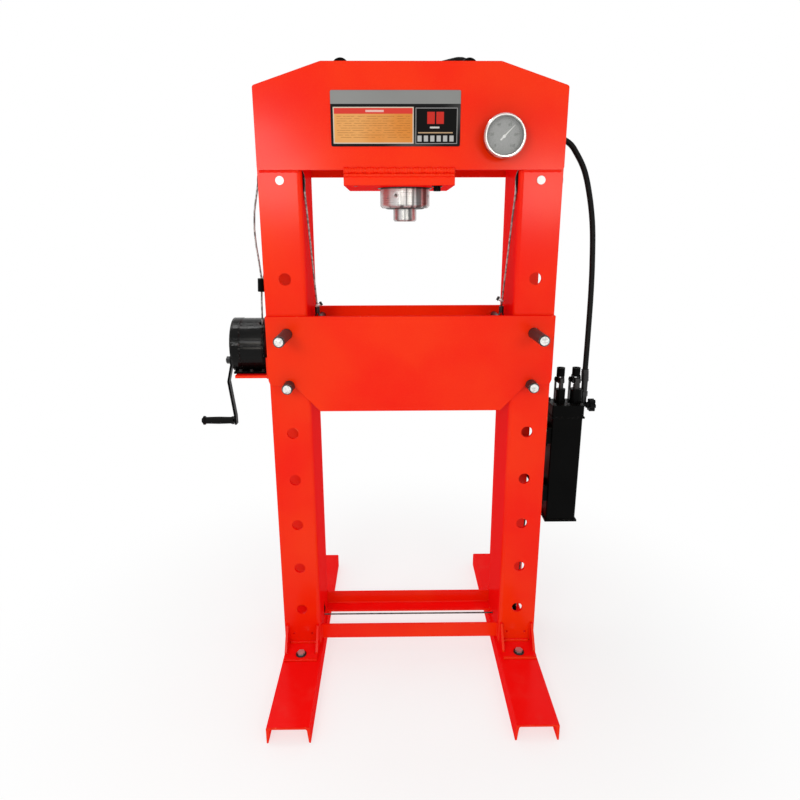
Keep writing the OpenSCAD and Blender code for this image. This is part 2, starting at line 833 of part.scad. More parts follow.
// Gauge case: drawn cup with a back stem through the crown plate
module gauge_case() {
    r = case_od / 2;
    stem_r = gauge_stem_d / 2;
    shaft_r = needle_shaft_d / 2 + run_play;
    floor_y = case_back_y + case_floor_t;
    color(black_paint)
        gauge_turned([
            [0, post_face_y - 20], [stem_r, post_face_y - 20], [stem_r, case_back_y], [r - 5, case_back_y],
            [r, case_back_y + 5], [r, case_front_y - seat_play], [r - 3, case_front_y - seat_play],
            [r - 3, dial_y], [shaft_r, dial_y], [shaft_r, floor_y], [0, floor_y]
        ]);
}

module gauge_dial() {
    color([0.82, 0.84, 0.85])
        gauge_turned([
            [needle_shaft_d / 2 + 0.3, dial_y], [case_od / 2 - 3.2, dial_y],
            [case_od / 2 - 3.2, dial_y + dial_t], [needle_shaft_d / 2 + 0.3, dial_y + dial_t]
        ]);
}

// Bezel: rolled ring that holds the glass on the case
module gauge_bezel() {
    r = bezel_d / 2;
    y = case_front_y - bezel_len + 6;
    front = case_front_y + 9;
    color(steel_bright)
        gauge_turned([
            [case_od / 2 + seat_play, y], [r, y], [r, front - 4], [r - 3, front], [r - bezel_lip, front],
            [r - bezel_lip - 2, front - 4], [r - bezel_lip - 2, case_front_y + glass_t],
            [case_od / 2 + seat_play, case_front_y + glass_t]
        ]);
}

module gauge_glass() {
    color([0.8, 0.9, 0.95, 0.3])
        gauge_turned([
            [0, case_front_y], [case_od / 2, case_front_y],
            [case_od / 2, case_front_y + glass_t - 0.1], [0, case_front_y + glass_t - 0.1]
        ]);
}

// Needle with its hub and shaft, pointing up and to the right
module gauge_needle() {
    y = dial_y + dial_t + 0.6;
    len = case_od * 0.37;
    color(steel_dark)
        union() {
            gauge_turned([
                [0, case_back_y + case_floor_t + 1], [needle_shaft_d / 2, case_back_y + case_floor_t + 1],
                [needle_shaft_d / 2, y], [4, y], [4, y + 2.5], [0, y + 2.5]
            ]);
            translate([gauge_x, -y, gauge_z])
                rotate([0, needle_angle, 0])
                    rotate([90, 0, 0])
                        linear_extrude(1.2)
                            polygon([[-2, -12], [2, -12], [1.8, 0], [0.5, len], [-0.5, len], [-1.8, 0]]);
        }
}

// Thin plate for the label, with round corners
module label_plate() {
    w = label_w / 2;
    low = crown_z + label_rise;
    color([0.75, 0.76, 0.77])
        plate_y(rounded([
            [label_x - w, low, 4], [label_x + w, low, 4],
            [label_x + w, low + label_h, 4], [label_x - w, low + label_h, 4]
        ]), -crown_face_y - label_t, label_t);
}

// Outline of a bed plate, with its deep belly and cut corners
function bed_outline() =
    let (w = bed_w / 2, c = bed_chamfer_w / 2, b = bed_bottom_w / 2)
    [
        [-b, bed_bottom_z], [b, bed_bottom_z], [c, lower_pin_z], [w - bed_corner, lower_pin_z],
        [w, lower_pin_z + 2.5 * bed_corner], [w, bed_top_z], [-w, bed_top_z],
        [-w, lower_pin_z + 2.5 * bed_corner], [-w + bed_corner, lower_pin_z], [-c, lower_pin_z]
    ];

// Bed plate: holes for the upper pins and half-round seats on the lower pins
module bed_plate(y) {
    color(paint_red)
        difference() {
            plate_y(bed_outline(), y, bed_t);
            for (x = [-post_x, post_x], z = [upper_pin_z, lower_pin_z])
                rod_y(x, y - 1, z, bed_hole_d, bed_t + 2);
        }
}

module bed_front_plate() { bed_plate(-bed_face_y); }

module bed_rear_plate() { bed_plate(bed_in_y); }

module bed_spacers() {
    low = bed_bottom_z + 40;
    h = bed_spacer_t / 2;
    color(paint_red)
        for (x = [-bed_spacer_x, bed_spacer_x])
            block([x - h, -bed_in_y, low], [x + h, bed_in_y, low + bed_spacer_h]);
}

// Rope bars between the bed plates, each with a rope loop and its clip
rope_bar_z = bed_top_z - 28;
eye_clip_z = bed_top_z - 4;

module bed_rope_eyes() {
    loop_r = rope_bar_d / 2 + rope_d / 2;
    for (side = [-1, 1]) {
        color(steel_dark)
            rod_y(side * bed_eye_x, -bed_in_y, rope_bar_z, rope_bar_d, 2 * bed_in_y);
        color(wire_grey)
            tube(concat(
                [[side * bed_eye_x - rope_d * 0.6, -bed_eye_y, eye_clip_z + bed_clip_len - 2]],
                [[side * bed_eye_x - rope_d * 0.6, -bed_eye_y, eye_clip_z]],
                arc_points(side * bed_eye_x, -bed_eye_y, rope_bar_z, loop_r, 180, 360, 14),
                [[side * bed_eye_x + rope_d * 0.6, -bed_eye_y, eye_clip_z]],
                [[side * bed_eye_x + rope_d * 0.6, -bed_eye_y, eye_clip_z + bed_clip_len - 2]]
            ), rope_d, 8);
        color(steel_dark)
            translate([side * bed_eye_x, -bed_eye_y, eye_clip_z])
                cylinder(d = clip_d + 3, h = bed_clip_len);
    }
}

// Height pin: round bar with chamfered ends, its front end at out in front of the bed
module height_pin(x, z, out) {
    r = pin_d / 2;
    c = pin_chamfer;
    color(steel_dark)
        translate([x, -bed_face_y - out, z])
            rotate([-90, 0, 0])
                rotate_extrude()
                    polygon([[0, 0], [r - c, 0], [r, c], [r, pin_len - c], [r - c, pin_len], [0, pin_len]]);
}

module upper_left_pin() { height_pin(-post_x, upper_pin_z, upper_pin_out); }

module upper_right_pin() { height_pin(post_x, upper_pin_z, upper_pin_out); }

module lower_left_pin() { height_pin(-post_x, lower_pin_z, lower_pin_out); }

module lower_right_pin() { height_pin(post_x, lower_pin_z, lower_pin_out); }

// A plain axle from flange to flange with collars beside its sheave
module axle(x, z, d, collar, from, len, sheave_ys) {
    gaps = concat([-post_face_y + post_t], [for (y = sheave_ys) each [y - sheave_w / 2, y + sheave_w / 2]],
                  [post_face_y - post_t]);
    clear_bend = post_bend_r - post_t + 1;
    rod_y(x, from, z, d, len);
    for (i = [0 : 2 : len(gaps) - 2]) {
        low = gaps[i] + (i == 0 ? clear_bend : side_play);
        high = gaps[i + 1] - (i == len(gaps) - 2 ? clear_bend : side_play);
        rod_y(x, low, z, collar, high - low);
    }
}

module sheave_axles() {
    inside = post_face_y - post_t;
    color(steel_bright) {
        axle(-post_x, axle_z, axle_d, axle_d + 7, -post_face_y - 2, post_d + 4, [-lift_sheave_y, 0]);
        axle(post_x, axle_z, axle_d, axle_d + 7, -post_face_y - 2, post_d + 4, [-lift_sheave_y]);
        axle(-left_bottom_x, bottom_axle_z, small_axle_d, small_axle_d + 4, -inside, 2 * inside, [0]);
        axle(post_x, bottom_axle_z, small_axle_d, small_axle_d + 4, -inside, 2 * inside, [0]);
    }
}

// Grooved sheave that carries a rope at radius r, with a thinner web where it is large enough
module sheave(x, y, z, r, bore) {
    groove_r = r - groove_depth;
    rim_r = r + 2;
    bore_r = bore / 2 + run_play;
    h = sheave_w / 2;
    hub_r = bore_r + 8;
    web_r = groove_r - 6;
    web_h = h - 3;
    rope_h = rope_d / 2 + 0.7;
    near = [[hub_r, -h], [hub_r, -web_h], [web_r, -web_h], [web_r, -h]];
    far = [[web_r, h], [web_r, web_h], [hub_r, web_h], [hub_r, h]];
    webbed = web_r > hub_r + 6;
    color(black_paint)
        translate([x, y, z])
            rotate([90, 0, 0])
                rotate_extrude($fn = 72)
                    polygon(concat(
                        [[bore_r, -h]],
                        webbed ? near : [],
                        [[rim_r, -h], [rim_r, -rope_h - 1.5], [groove_r, -rope_h]],
                        [[groove_r, rope_h], [rim_r, rope_h + 1.5], [rim_r, h]],
                        webbed ? far : [],
                        [[bore_r, h]]
                    ));
}

module left_lift_sheave() { sheave(-post_x, -lift_sheave_y, axle_z, lift_sheave_r, axle_d); }

module right_lift_sheave() { sheave(post_x, -lift_sheave_y, axle_z, lift_sheave_r, axle_d); }

module guide_sheave() { sheave(-post_x, 0, axle_z, small_sheave_r, axle_d); }

module left_bottom_sheave() { sheave(-left_bottom_x, 0, bottom_axle_z, small_sheave_r, small_axle_d); }

module right_bottom_sheave() { sheave(post_x, 0, bottom_axle_z, small_sheave_r, small_axle_d); }

// Winch rope: off the drum, up outside the post in a slack bow, and over the left lift sheave
rope_out_x = post_span / 2;
drum_rope_y = -winch_y - drum_rope_r;
clip_z = winch_z + (axle_z - winch_z) * 6 / 17;
slack_run = axle_z - clip_z - clip_len;
slack_bow = [
    [0, 0, 0], [0.19, -0.025, 0.011], [0.36, -0.049, 0.012], [0.52, -0.061, 0.012], [0.7, -0.053, 0.009],
    [0.84, -0.029, 0.004]
];
winch_rope_route = concat(
    [
        [-drum_rope_x, drum_rope_y, winch_z], [-rope_out_x - 20, -58, clip_z - 26],
        [-rope_out_x - 18, -59, clip_z]
    ],
    bowed([-rope_out_x - 16, -60, clip_z + clip_len], [-post_x - lift_sheave_r, -lift_sheave_y, axle_z], [
        for (p = slack_bow) [p[0], p[1] * slack_run, p[2] * slack_run]
    ]),
    arc_points(-post_x, -lift_sheave_y, axle_z, lift_sheave_r, 180, 0, 28)
);

module winch_rope() {
    color(wire_grey)
        tube(winch_rope_route, rope_d, 8);
}

// Cross rope: from the clip over the guide sheave, down the left post, across and up the right post
cross_rope_route = concat(
    [
        [-rope_out_x - 13, -54.9, clip_z + clip_len / 2], [-rope_out_x - 12, -55.4, clip_z + clip_len],
        [-rope_out_x + 4, -40, clip_z + 0.38 * (axle_z - clip_z)]
    ],
    arc_points(-post_x, 0, axle_z, small_sheave_r, 180, 0, 14),
    arc_points(-left_bottom_x, 0, bottom_axle_z, small_sheave_r, 180, 270, 8),
    arc_points(post_x, 0, bottom_axle_z, small_sheave_r, 270, 360, 8),
    arc_points(post_x, -lift_sheave_y, axle_z, lift_sheave_r, 0, 180, 28)
);

module cross_rope() {
    color(wire_grey)
        tube(cross_rope_route, rope_d, 8);
}

// The two rope runs that carry the bed
module lift_ropes() {
    color(wire_grey)
        for (side = [-1, 1])
            tube([
                [side * lift_rope_x, -lift_sheave_y, axle_z - eps],
                [side * lift_rope_x, -lift_sheave_y, axle_z - rope_lead],
                [side * bed_eye_x, -bed_eye_y, eye_clip_z + bed_clip_len + 0.8]
            ], rope_d, 8);
}

// Clip that joins the two ropes above the winch
module rope_clips() {
    bottom = [-rope_out_x - 18, -59, clip_z];
    top = [-rope_out_x - 16, -60, clip_z + clip_len];
    along = unit(top - bottom);
    hole_d = rope_d + 2 * seat_play;
    color(black_paint)
        difference() {
            tube([bottom, top], 2 * clip_d, 12);
            tube([bottom - 4 * along, top + 4 * along], hole_d, 8);
            tube([cross_rope_route[0] - seat_play * along, cross_rope_route[1] + 4 * along], hole_d, 8);
        }
}

// Shelf that carries the winch, welded to the edges of the left post's flanges
module winch_shelf() {
    edge = -post_span / 2;
    front = -winch_y - cover_r - 2;
    rear = -winch_y + cover_r;
    color(paint_red)
        union() {
            block([shelf_short - winch_end_x, front, shelf_top_z - shelf_t], [edge, rear, shelf_top_z]);
            block([edge - shelf_t, -post_face_y, shelf_top_z - shelf_t],
                  [edge, post_face_y, shelf_top_z + shelf_leg]);
        }
}

// Winch frame: a base and two cheeks that carry the drum and the crank shaft
module winch_frame() {
    front = -winch_y - 0.75 * cover_r;
    rear = -winch_y + 0.75 * cover_r;
    outer = -winch_end_x + cover_t + 0.5;
    inner = -cover_in_x + cheek_t + 1;
    cheek_r = cover_r - cover_t - 1.5;
    color(black_paint)
        difference() {
            union() {
                block([outer, front, shelf_top_z], [inner, rear, winch_floor_z]);
                plate_x(cover_outline(cheek_r, winch_floor_z - 1), outer, cheek_t);
                plate_x(cover_outline(cover_r, winch_floor_z - 1), inner - cheek_t, cheek_t);
            }
            rod_x(outer - 1, -winch_y, winch_z, drum_shaft_d + 2 * run_play, inner - outer + 2);
            rod_x(outer - 1, -crank_y, crank_z, crank_shaft_d + 2 * run_play, inner - outer + 2);
        }
}

// Outline of the winch's cover across its axis
function cover_outline(r, low) =
    let (from = asin((low - winch_z) / r), sweep = 180 - 2 * from)
    [for (i = [0 : 40]) let (a = from + sweep * i / 40) [-winch_y + r * cos(a), winch_z + r * sin(a)]];

// Winch cover: a round sheet in two halves that lap at a seam, with a rope slot in its top
module winch_cover() {
    inner_r = cover_r - cover_t;
    seam_x = -winch_end_x + gear_cover_len;
    color(black_paint)
        difference() {
            union() {
                plate_x(cover_outline(cover_r, winch_floor_z), -winch_end_x, gear_cover_len);
                plate_x(cover_outline(cover_r - 1, winch_floor_z), seam_x - 1, -cover_in_x - seam_x + 1);
            }
            plate_x(cover_outline(inner_r - 0.5, winch_floor_z - 1), -winch_end_x + cover_t, cover_reach);
            rod_x(-winch_end_x - 1, -crank_y, crank_z, crank_shaft_d + 3, cover_t + 3);
            translate([-drum_rope_x, drum_rope_y, winch_z])
                cylinder(d = rope_d + 7, h = cover_r + 10);
        }
}

// Outline of a spur gear with straight-flanked teeth
function gear_outline(teeth, turn) =
    let (r = gear_module * teeth / 2, pitch = 360 / teeth)
    [
        for (i = [0 : teeth - 1])
            let (a = turn + i * pitch)
            for (p = [[-0.29, -1.25], [-0.12, 0.9], [0.12, 0.9], [0.29, -1.25]])
                (r + p[1] * gear_module) * [cos(a + p[0] * pitch), sin(a + p[0] * pitch)]
    ];

// Rope drum with two flanges, the large gear and their shaft
module winch_drum() {
    len = drum_out_x - cover_in_x;
    shaft_x = -winch_end_x + cover_t + 0.8;
    color(steel_dark)
        union() {
            rod_x(shaft_x, -winch_y, winch_z, drum_shaft_d, -cover_in_x + cheek_t + 0.5 - shaft_x);
            rod_x(-drum_out_x, -winch_y, winch_z, 2 * drum_core_r, len);
            for (x = [-drum_out_x, -drum_in_x])
                rod_x(x, -winch_y, winch_z, 2 * drum_flange_r, drum_flange_t);
            translate([-gear_x, -winch_y, winch_z])
                rotate([90, 0, 90])
                    linear_extrude(gear_w)
                        polygon(gear_outline(drum_teeth, mesh_angle));
            rod_x(-gear_x + gear_w - 1, -winch_y, winch_z, 40, gear_x - gear_w - drum_out_x + 2);
        }
}

// Crank shaft with the pinion cut on it
module crank_shaft() {
    inner = -cover_in_x + cheek_t;
    color(steel_dark)
        union() {
            rod_x(-crank_x - crank_t - 12, -crank_y, crank_z, crank_shaft_d - 4, 20);
            rod_x(-crank_x, -crank_y, crank_z, crank_shaft_d, crank_x + inner);
            translate([-gear_x, -crank_y, crank_z])
                rotate([90, 0, 90])
                    linear_extrude(gear_w)
                        polygon(gear_outline(pinion_teeth, mesh_angle + 180 + 180 / pinion_teeth));
            rod_x(-crank_x - crank_t - 10, -crank_y, crank_z, 22, 10 - seat_play, $fn = 6);
        }
}

// Crank arm: a flat bar that bows outwards, with a hub eye and the grip's spindle
module crank_arm() {
    t = crank_t;
    low = grip_z - crank_w / 2;
    high = crank_z + crank_w / 2;
    bend = crank_z - 0.34 * crank_len;
    x = -crank_x - t;
    out = x - crank_bend;
    color(black_paint)
        difference() {
            union() {
                translate([0, -crank_y + crank_w / 2, 0])
                    rotate([90, 0, 0])
                        linear_extrude(crank_w)
                            polygon([
                                [x, high], [x + t, high], [x + t, crank_z - 14], [out + t, bend],
                                [x + t, grip_z + 14], [x + t, low], [x, low], [x, grip_z + 13],
                                [out, bend], [x, crank_z - 13]
                            ]);
                rod_x(x - grip_len - 6, -crank_y, grip_z, grip_spindle_d, grip_len + 8);
                rod_x(x - grip_len - 6, -crank_y, grip_z, grip_spindle_d + 6, grip_head_t);
            }
            rod_x(x - 1, -crank_y, crank_z, crank_shaft_d - 4 + 2 * seat_play, t + 2);
        }
}

// Grip that turns on the crank's spindle, with a flange at each end
module crank_grip() {
    r = grip_d / 2;
    out_x = -crank_x - crank_t - grip_len - 6 + grip_head_t + side_play;
    len = grip_len + 2 - grip_head_t - 2 * side_play;
    bore = grip_spindle_d / 2 + run_play;
    color(rubber_black)
        translate([out_x, -crank_y, grip_z])
            rotate([0, 90, 0])
                rotate_extrude()
                    polygon([
                        [bore, 0], [r + 3, 0], [r + 3.5, 2], [r + 3, 5], [r, 8], [r + 1, len / 2],
                        [r, len - 9], [r + 2, len - 4], [r + 2, len], [bore, len]
                    ]);
}

// Pump bracket: two straps across the right post's open side, each with two legs to the tank
module pump_bracket() {
    x = post_span / 2;
    color(black_paint)
        for (low = [tank_z + strap_low, tank_z + strap_high])
            union() {
                block([x, -post_face_y + 1, low], [x + strap_t, post_face_y - 1, low + strap_h]);
                for (y = [-pump_y - tank_d / 2 + 6, -pump_y + tank_d / 2 - 14])
                    block([x + strap_t - 1, y, low], [tank_x, y + 8, low + strap_h]);
            }
}

// Oil tank: an upright box with round edges and a wider bottom flange
module oil_tank() {
    y = -pump_y;
    lip = tank_lip;
    d = tank_d / 2;
    x = tank_x;
    w = tank_w;
    wall = tank_t;
    color(black_paint)
        difference() {
            union() {
                translate([0, 0, tank_z])
                    linear_extrude(tank_h)
                        polygon(rounded([
                            [x, y - d, 6], [x + w, y - d, 6], [x + w, y + d, 6], [x, y + d, 6]
                        ]));
                block([x - lip, y - d - lip, tank_z - 6], [x + w + lip, y + d + lip, tank_z + eps]);
            }
            block([x + wall, y - d + wall, tank_z + wall], [x + w - wall, y + d - wall, tank_top_z + 1]);
        }
}

// Pump head: a cast cap on the tank with a thin lip round its foot
module pump_head() {
    y = -pump_y;
    d = tank_d / 2 + 2;
    low_d = tank_d / 2 + tank_lip;
    color(black_paint)
        difference() {
            union() {
                translate([0, 0, tank_top_z])
                    linear_extrude(head_h)
                        polygon(rounded([
                            [tank_x - 2, y - d, 5], [tank_x + tank_w + 2, y - d, 5],
                            [tank_x + tank_w + 2, y + d, 5], [tank_x - 2, y + d, 5]
                        ]));
                block([tank_x - tank_lip, y - low_d, tank_top_z],
                      [tank_x + tank_w + tank_lip, y + low_d, tank_top_z + 5]);
                rod_x(tank_x + tank_w, -knob_y, knob_z, 16, tank_lip + 6);
            }
            for (i = [0, 1])
                translate([unit_x[i], y, tank_top_z - 1])
                    cylinder(d = piston_d[i] + 2, h = head_h + 2);
            rod_x(stem_in_x - 0.3, -knob_y, knob_z, 10 + 2 * run_play, 40);
        }
}

// Barrel of one pump unit, with the two ears of its lever's pivot
module pump_barrel(i) {
    d = barrel_d[i];
    ear_in = tongue_t[i] / 2 + 1 + cheek_w[i] + side_play;
    ear_out = ear_in + ear_w[i];
    y = -pump_y;
    pivot_y = y + lever_arm;
    difference() {
        union() {
            translate([unit_x[i], y, head_top_z])
                cylinder(d = d, h = barrel_h);
            translate([unit_x[i], y, head_top_z])
                cylinder(d = d + 4, h = 9, $fn = 6);
            block([unit_x[i] - ear_out, y + d / 4, head_top_z],
                  [unit_x[i] + ear_out, pivot_y + 7, barrel_top_z - 8]);
            for (side = [-1, 1])
                plate_x(rounded([
                    [pivot_y - 7, barrel_top_z - 9, 0], [pivot_y + 7, barrel_top_z - 9, 0],
                    [pivot_y + 7, lever_z + 8, 6], [pivot_y - 7, lever_z + 8, 6]
                ]), unit_x[i] + (side > 0 ? ear_in : -ear_out), ear_w[i]);
        }
        translate([unit_x[i], y, head_top_z - 1])
            cylinder(d = piston_d[i] + 2 * run_play, h = barrel_h + 2);
        rod_x(unit_x[i] - ear_out - 1, pivot_y, lever_z, pivot_pin_d + 2 * run_play, 2 * ear_out + 2);
    }
}

module pump_barrels() {
    color(black_paint)
        for (i = [0, 1])
            pump_barrel(i);
}

// Piston rod with a slotted tongue that the lever's pin works in
module pump_piston(i) {
    y = -pump_y;
    t = tongue_t[i] / 2;
    half = 9;
    pin_r = lever_pin_d / 2;
    color(steel_dark)
        difference() {
            union() {
                translate([unit_x[i], y, tank_top_z + 14])
                    cylinder(d = piston_d[i], h = lever_z - 11 - tank_top_z - 14);
                plate_x(rounded([
                    [y - half, lever_z - 12, 0], [y + half, lever_z - 12, 0],
                    [y + half, lever_z + 9, 4], [y - half, lever_z + 9, 4]
                ]), unit_x[i] - t, 2 * t);
            }
            block([unit_x[i] - t - 1, y - pin_r - 0.6, lever_z - pin_r - tongue_lift],
                  [unit_x[i] + t + 1, y + pin_r + tongue_slack, lever_z + pin_r + tongue_lift]);
        }
}

module fast_piston() { pump_piston(0); }

module power_piston() { pump_piston(1); }

// Lever: two cheeks, the piston pin, the pivot pin and an upright socket for the handle
module pump_lever(i) {
    y = -pump_y;
    pivot_y = y + lever_arm;
    cheek_in = tongue_t[i] / 2 + 1;
    cheek_out = cheek_in + cheek_w[i];
    ear_out = cheek_out + side_play + ear_w[i];
    socket_y = y + lever_arm / 2;
    socket_z = lever_z + 12.5;
    socket_d = socket_bore + 2 * socket_wall;
    color(black_paint)
        difference() {
            union() {
                for (side = [-1, 1])
                    plate_x(rounded([
                        [y - 7, lever_z - 7, 6], [pivot_y + 7, lever_z - 7, 6],
                        [socket_y + 10, socket_z + 4, 2], [socket_y - 10, socket_z + 4, 2]
                    ]), unit_x[i] + (side > 0 ? cheek_in : -cheek_out), cheek_w[i]);
                rod_x(unit_x[i] - cheek_out, y, lever_z, lever_pin_d, 2 * cheek_out);
                rod_x(unit_x[i] - ear_out - 2, pivot_y, lever_z, pivot_pin_d, 2 * ear_out + 4);
                translate([unit_x[i], socket_y, socket_z])
                    cylinder(d = socket_d, h = socket_depth + 4);
            }
            translate([unit_x[i], socket_y, socket_z + 4])
                cylinder(d = socket_bore, h = socket_depth + 1);
        }
}

module fast_lever() { pump_lever(0); }

module power_lever() { pump_lever(1); }

// Release knob: six-lobed hand knob on the valve's stem
module release_knob() {
    lobe_r = knob_d / 2 - 6;
    x = knob_x + knob_stem_len;
    color(black_paint)
        union() {
            rod_x(stem_in_x, -knob_y, knob_z, 10, x + 1 - stem_in_x);
            rod_x(x - 8, -knob_y, knob_z, 18, 9);
            rod_x(x, -knob_y, knob_z, 2 * lobe_r, knob_t);
            for (a = [0 : 60 : 300])
                rod_x(x, -knob_y + lobe_r * cos(a), knob_z + lobe_r * sin(a), 12, knob_t);
        }
}

// Hose fittings: nipple through the right post's web, elbow on the pump head, elbow on the cylinder's port
module hose_fittings() {
    d = hose_d + 2;
    nut_d = 30;
    color(steel_dark) {
        union() {
            rod_x(nipple_in_x, nipple_y, nipple_z, d, nipple_end_x - nipple_in_x);
            rod_x(post_in_x - 7, nipple_y, nipple_z, nut_d, 7, $fn = 6);
            rod_x(post_in_x + post_t, nipple_y, nipple_z, nut_d, 9, $fn = 6);
            rod_x(nipple_end_x - 26, nipple_y, nipple_z, d + 6, 12, $fn = 6);
        }
        union() {
            rod_x(tank_x + tank_w + 2, elbow_y, head_top_z - 13, d, elbow_x - tank_x - tank_w - 2);
            translate([elbow_x, elbow_y, head_top_z - 13])
                sphere(d = d);
            translate([elbow_x, elbow_y, head_top_z - 13])
                cylinder(d = d, h = elbow_top_z - head_top_z + 13);
            translate([elbow_x, elbow_y, head_top_z + 14])
                cylinder(d = d + 6, h = 14, $fn = 6);
        }
        union() {
            translate([port_x, port_y, cyl_top_z])
                cylinder(d = d, h = port_z - cyl_top_z);
            translate([port_x, port_y, cyl_top_z])
                cylinder(d = d + 6, h = 11, $fn = 6);
            translate([port_x, port_y, port_z])
                sphere(d = d);
            rod_x(port_x, port_y, port_z, d, port_end_x - port_x);
        }
    }
}

// Outer hose: out of the post, round a free bend and down to the pump
module hose() {
    start = [nipple_end_x, nipple_y, nipple_z];
    end = [elbow_x, elbow_y, elbow_top_z];
    bend = arc_points(start[0] + 2, start[1], start[2] - hose_bend_r, hose_bend_r, 90, 38, 6);
    drop = bowed(start, end, [
        [0.117, 76, 9], [0.214, 84, 11], [0.341, 81, 6], [0.488, 68, 5],
        [0.637, 50, 3], [0.818, 24, -1], [0.95, 5, -2]
    ]);
    color(rubber_black)
        tube(concat([start], smooth(concat(bend, drop, [end + [0, 0, 4]]), 3), [end]), hose_d, 12);
}

// Inner hose: from the cylinder's port in a bow over the crown and down to the nipple
module inner_hose() {
    start = [port_end_x, port_y, port_z];
    end = [nipple_in_x, nipple_y, nipple_z];
    top_z = port_z + hose_rise - inner_top_r;
    top = arc_points(inner_drop_x - inner_top_r, nipple_y, top_z, inner_top_r, 90, 0, 6);
    foot = arc_points(end[0] - 2, nipple_y, nipple_z + hose_bend_r, hose_bend_r, 180, 270, 6);
    middle = (start + top[0]) / 2;
    color(rubber_black)
        tube(concat([start], smooth(concat([start + [3, 0, 0], middle], top, foot), 3), [end]), hose_d, 12);
}

left_foot();
right_foot();
left_post();
right_post();
shoe_brackets();
shoe_bolts();
front_rail();
rear_rail();
crown_front_plate();
crown_rear_plate();
crown_spacers();
lifting_eyes();
cylinder_mount_plate();
cylinder_barrel();
cylinder_collar();
ram();
return_spring();
gauge_case();
gauge_bezel();
gauge_dial();
gauge_glass();
gauge_needle();
label_plate();
bed_front_plate();
bed_rear_plate();
bed_spacers();
bed_rope_eyes();
upper_left_pin();
upper_right_pin();
lower_left_pin();
lower_right_pin();
sheave_axles();
left_lift_sheave();
right_lift_sheave();
guide_sheave();
left_bottom_sheave();
right_bottom_sheave();
winch_rope();
cross_rope();
lift_ropes();
rope_clips();
winch_shelf();
winch_frame();
winch_cover();
winch_drum();
crank_shaft();
crank_arm();
crank_grip();
pump_bracket();
oil_tank();
pump_head();
pump_barrels();
fast_piston();
power_piston();
fast_lever();
power_lever();
release_knob();
hose_fittings();
hose();
inner_hose();
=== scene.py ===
import math

import bmesh
import bpy
from mathutils import Matrix, Vector


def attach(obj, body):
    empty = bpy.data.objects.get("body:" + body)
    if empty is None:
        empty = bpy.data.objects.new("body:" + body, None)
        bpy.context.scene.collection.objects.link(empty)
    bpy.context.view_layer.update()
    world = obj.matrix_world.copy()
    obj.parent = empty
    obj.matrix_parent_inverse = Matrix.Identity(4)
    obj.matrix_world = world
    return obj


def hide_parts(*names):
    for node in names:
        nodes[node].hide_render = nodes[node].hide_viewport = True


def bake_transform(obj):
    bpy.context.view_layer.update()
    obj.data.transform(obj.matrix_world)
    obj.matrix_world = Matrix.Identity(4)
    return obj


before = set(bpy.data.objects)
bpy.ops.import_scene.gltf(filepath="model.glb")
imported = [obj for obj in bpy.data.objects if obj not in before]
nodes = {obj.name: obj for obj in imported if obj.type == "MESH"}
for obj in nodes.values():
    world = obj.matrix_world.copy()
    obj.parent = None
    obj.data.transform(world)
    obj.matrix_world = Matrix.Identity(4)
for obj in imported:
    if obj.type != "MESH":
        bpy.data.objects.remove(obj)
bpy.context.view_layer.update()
bpy.context.scene.view_settings.view_transform = "Standard"


# The photographer's camera: a wide view from a little above chest height, just left of the middle,
# tilted down at the bed. Its place and angles follow the lines of the press in an 800 by 800 frame.
tilt, turn, roll = math.radians(15.66), math.radians(-0.70), math.radians(-0.14)
level_right = Vector((math.cos(turn), math.sin(turn), 0))
level_ahead = Vector((-math.sin(turn), math.cos(turn), 0))
straight_up = Vector((0, 0, 1))
ahead = level_ahead * math.cos(tilt) - straight_up * math.sin(tilt)
above = level_ahead * math.sin(tilt) + straight_up * math.cos(tilt)
view_right = level_right * math.cos(roll) + above * math.sin(roll)
view_up = above * math.cos(roll) - level_right * math.sin(roll)
sensor_width, focal_pixels, picture_width = 36, 611.6, 800
lens = bpy.data.cameras.new("camera")
lens.sensor_width = sensor_width
lens.lens = sensor_width * focal_pixels / picture_width
camera = bpy.data.objects.new("camera", lens)
stand = Matrix.Translation((-0.0502, -1.8067, 1.3459))
camera.matrix_world = stand @ Matrix((view_right, view_up, -ahead)).transposed().to_4x4()
bpy.context.collection.objects.link(camera)
bpy.context.scene.camera = camera


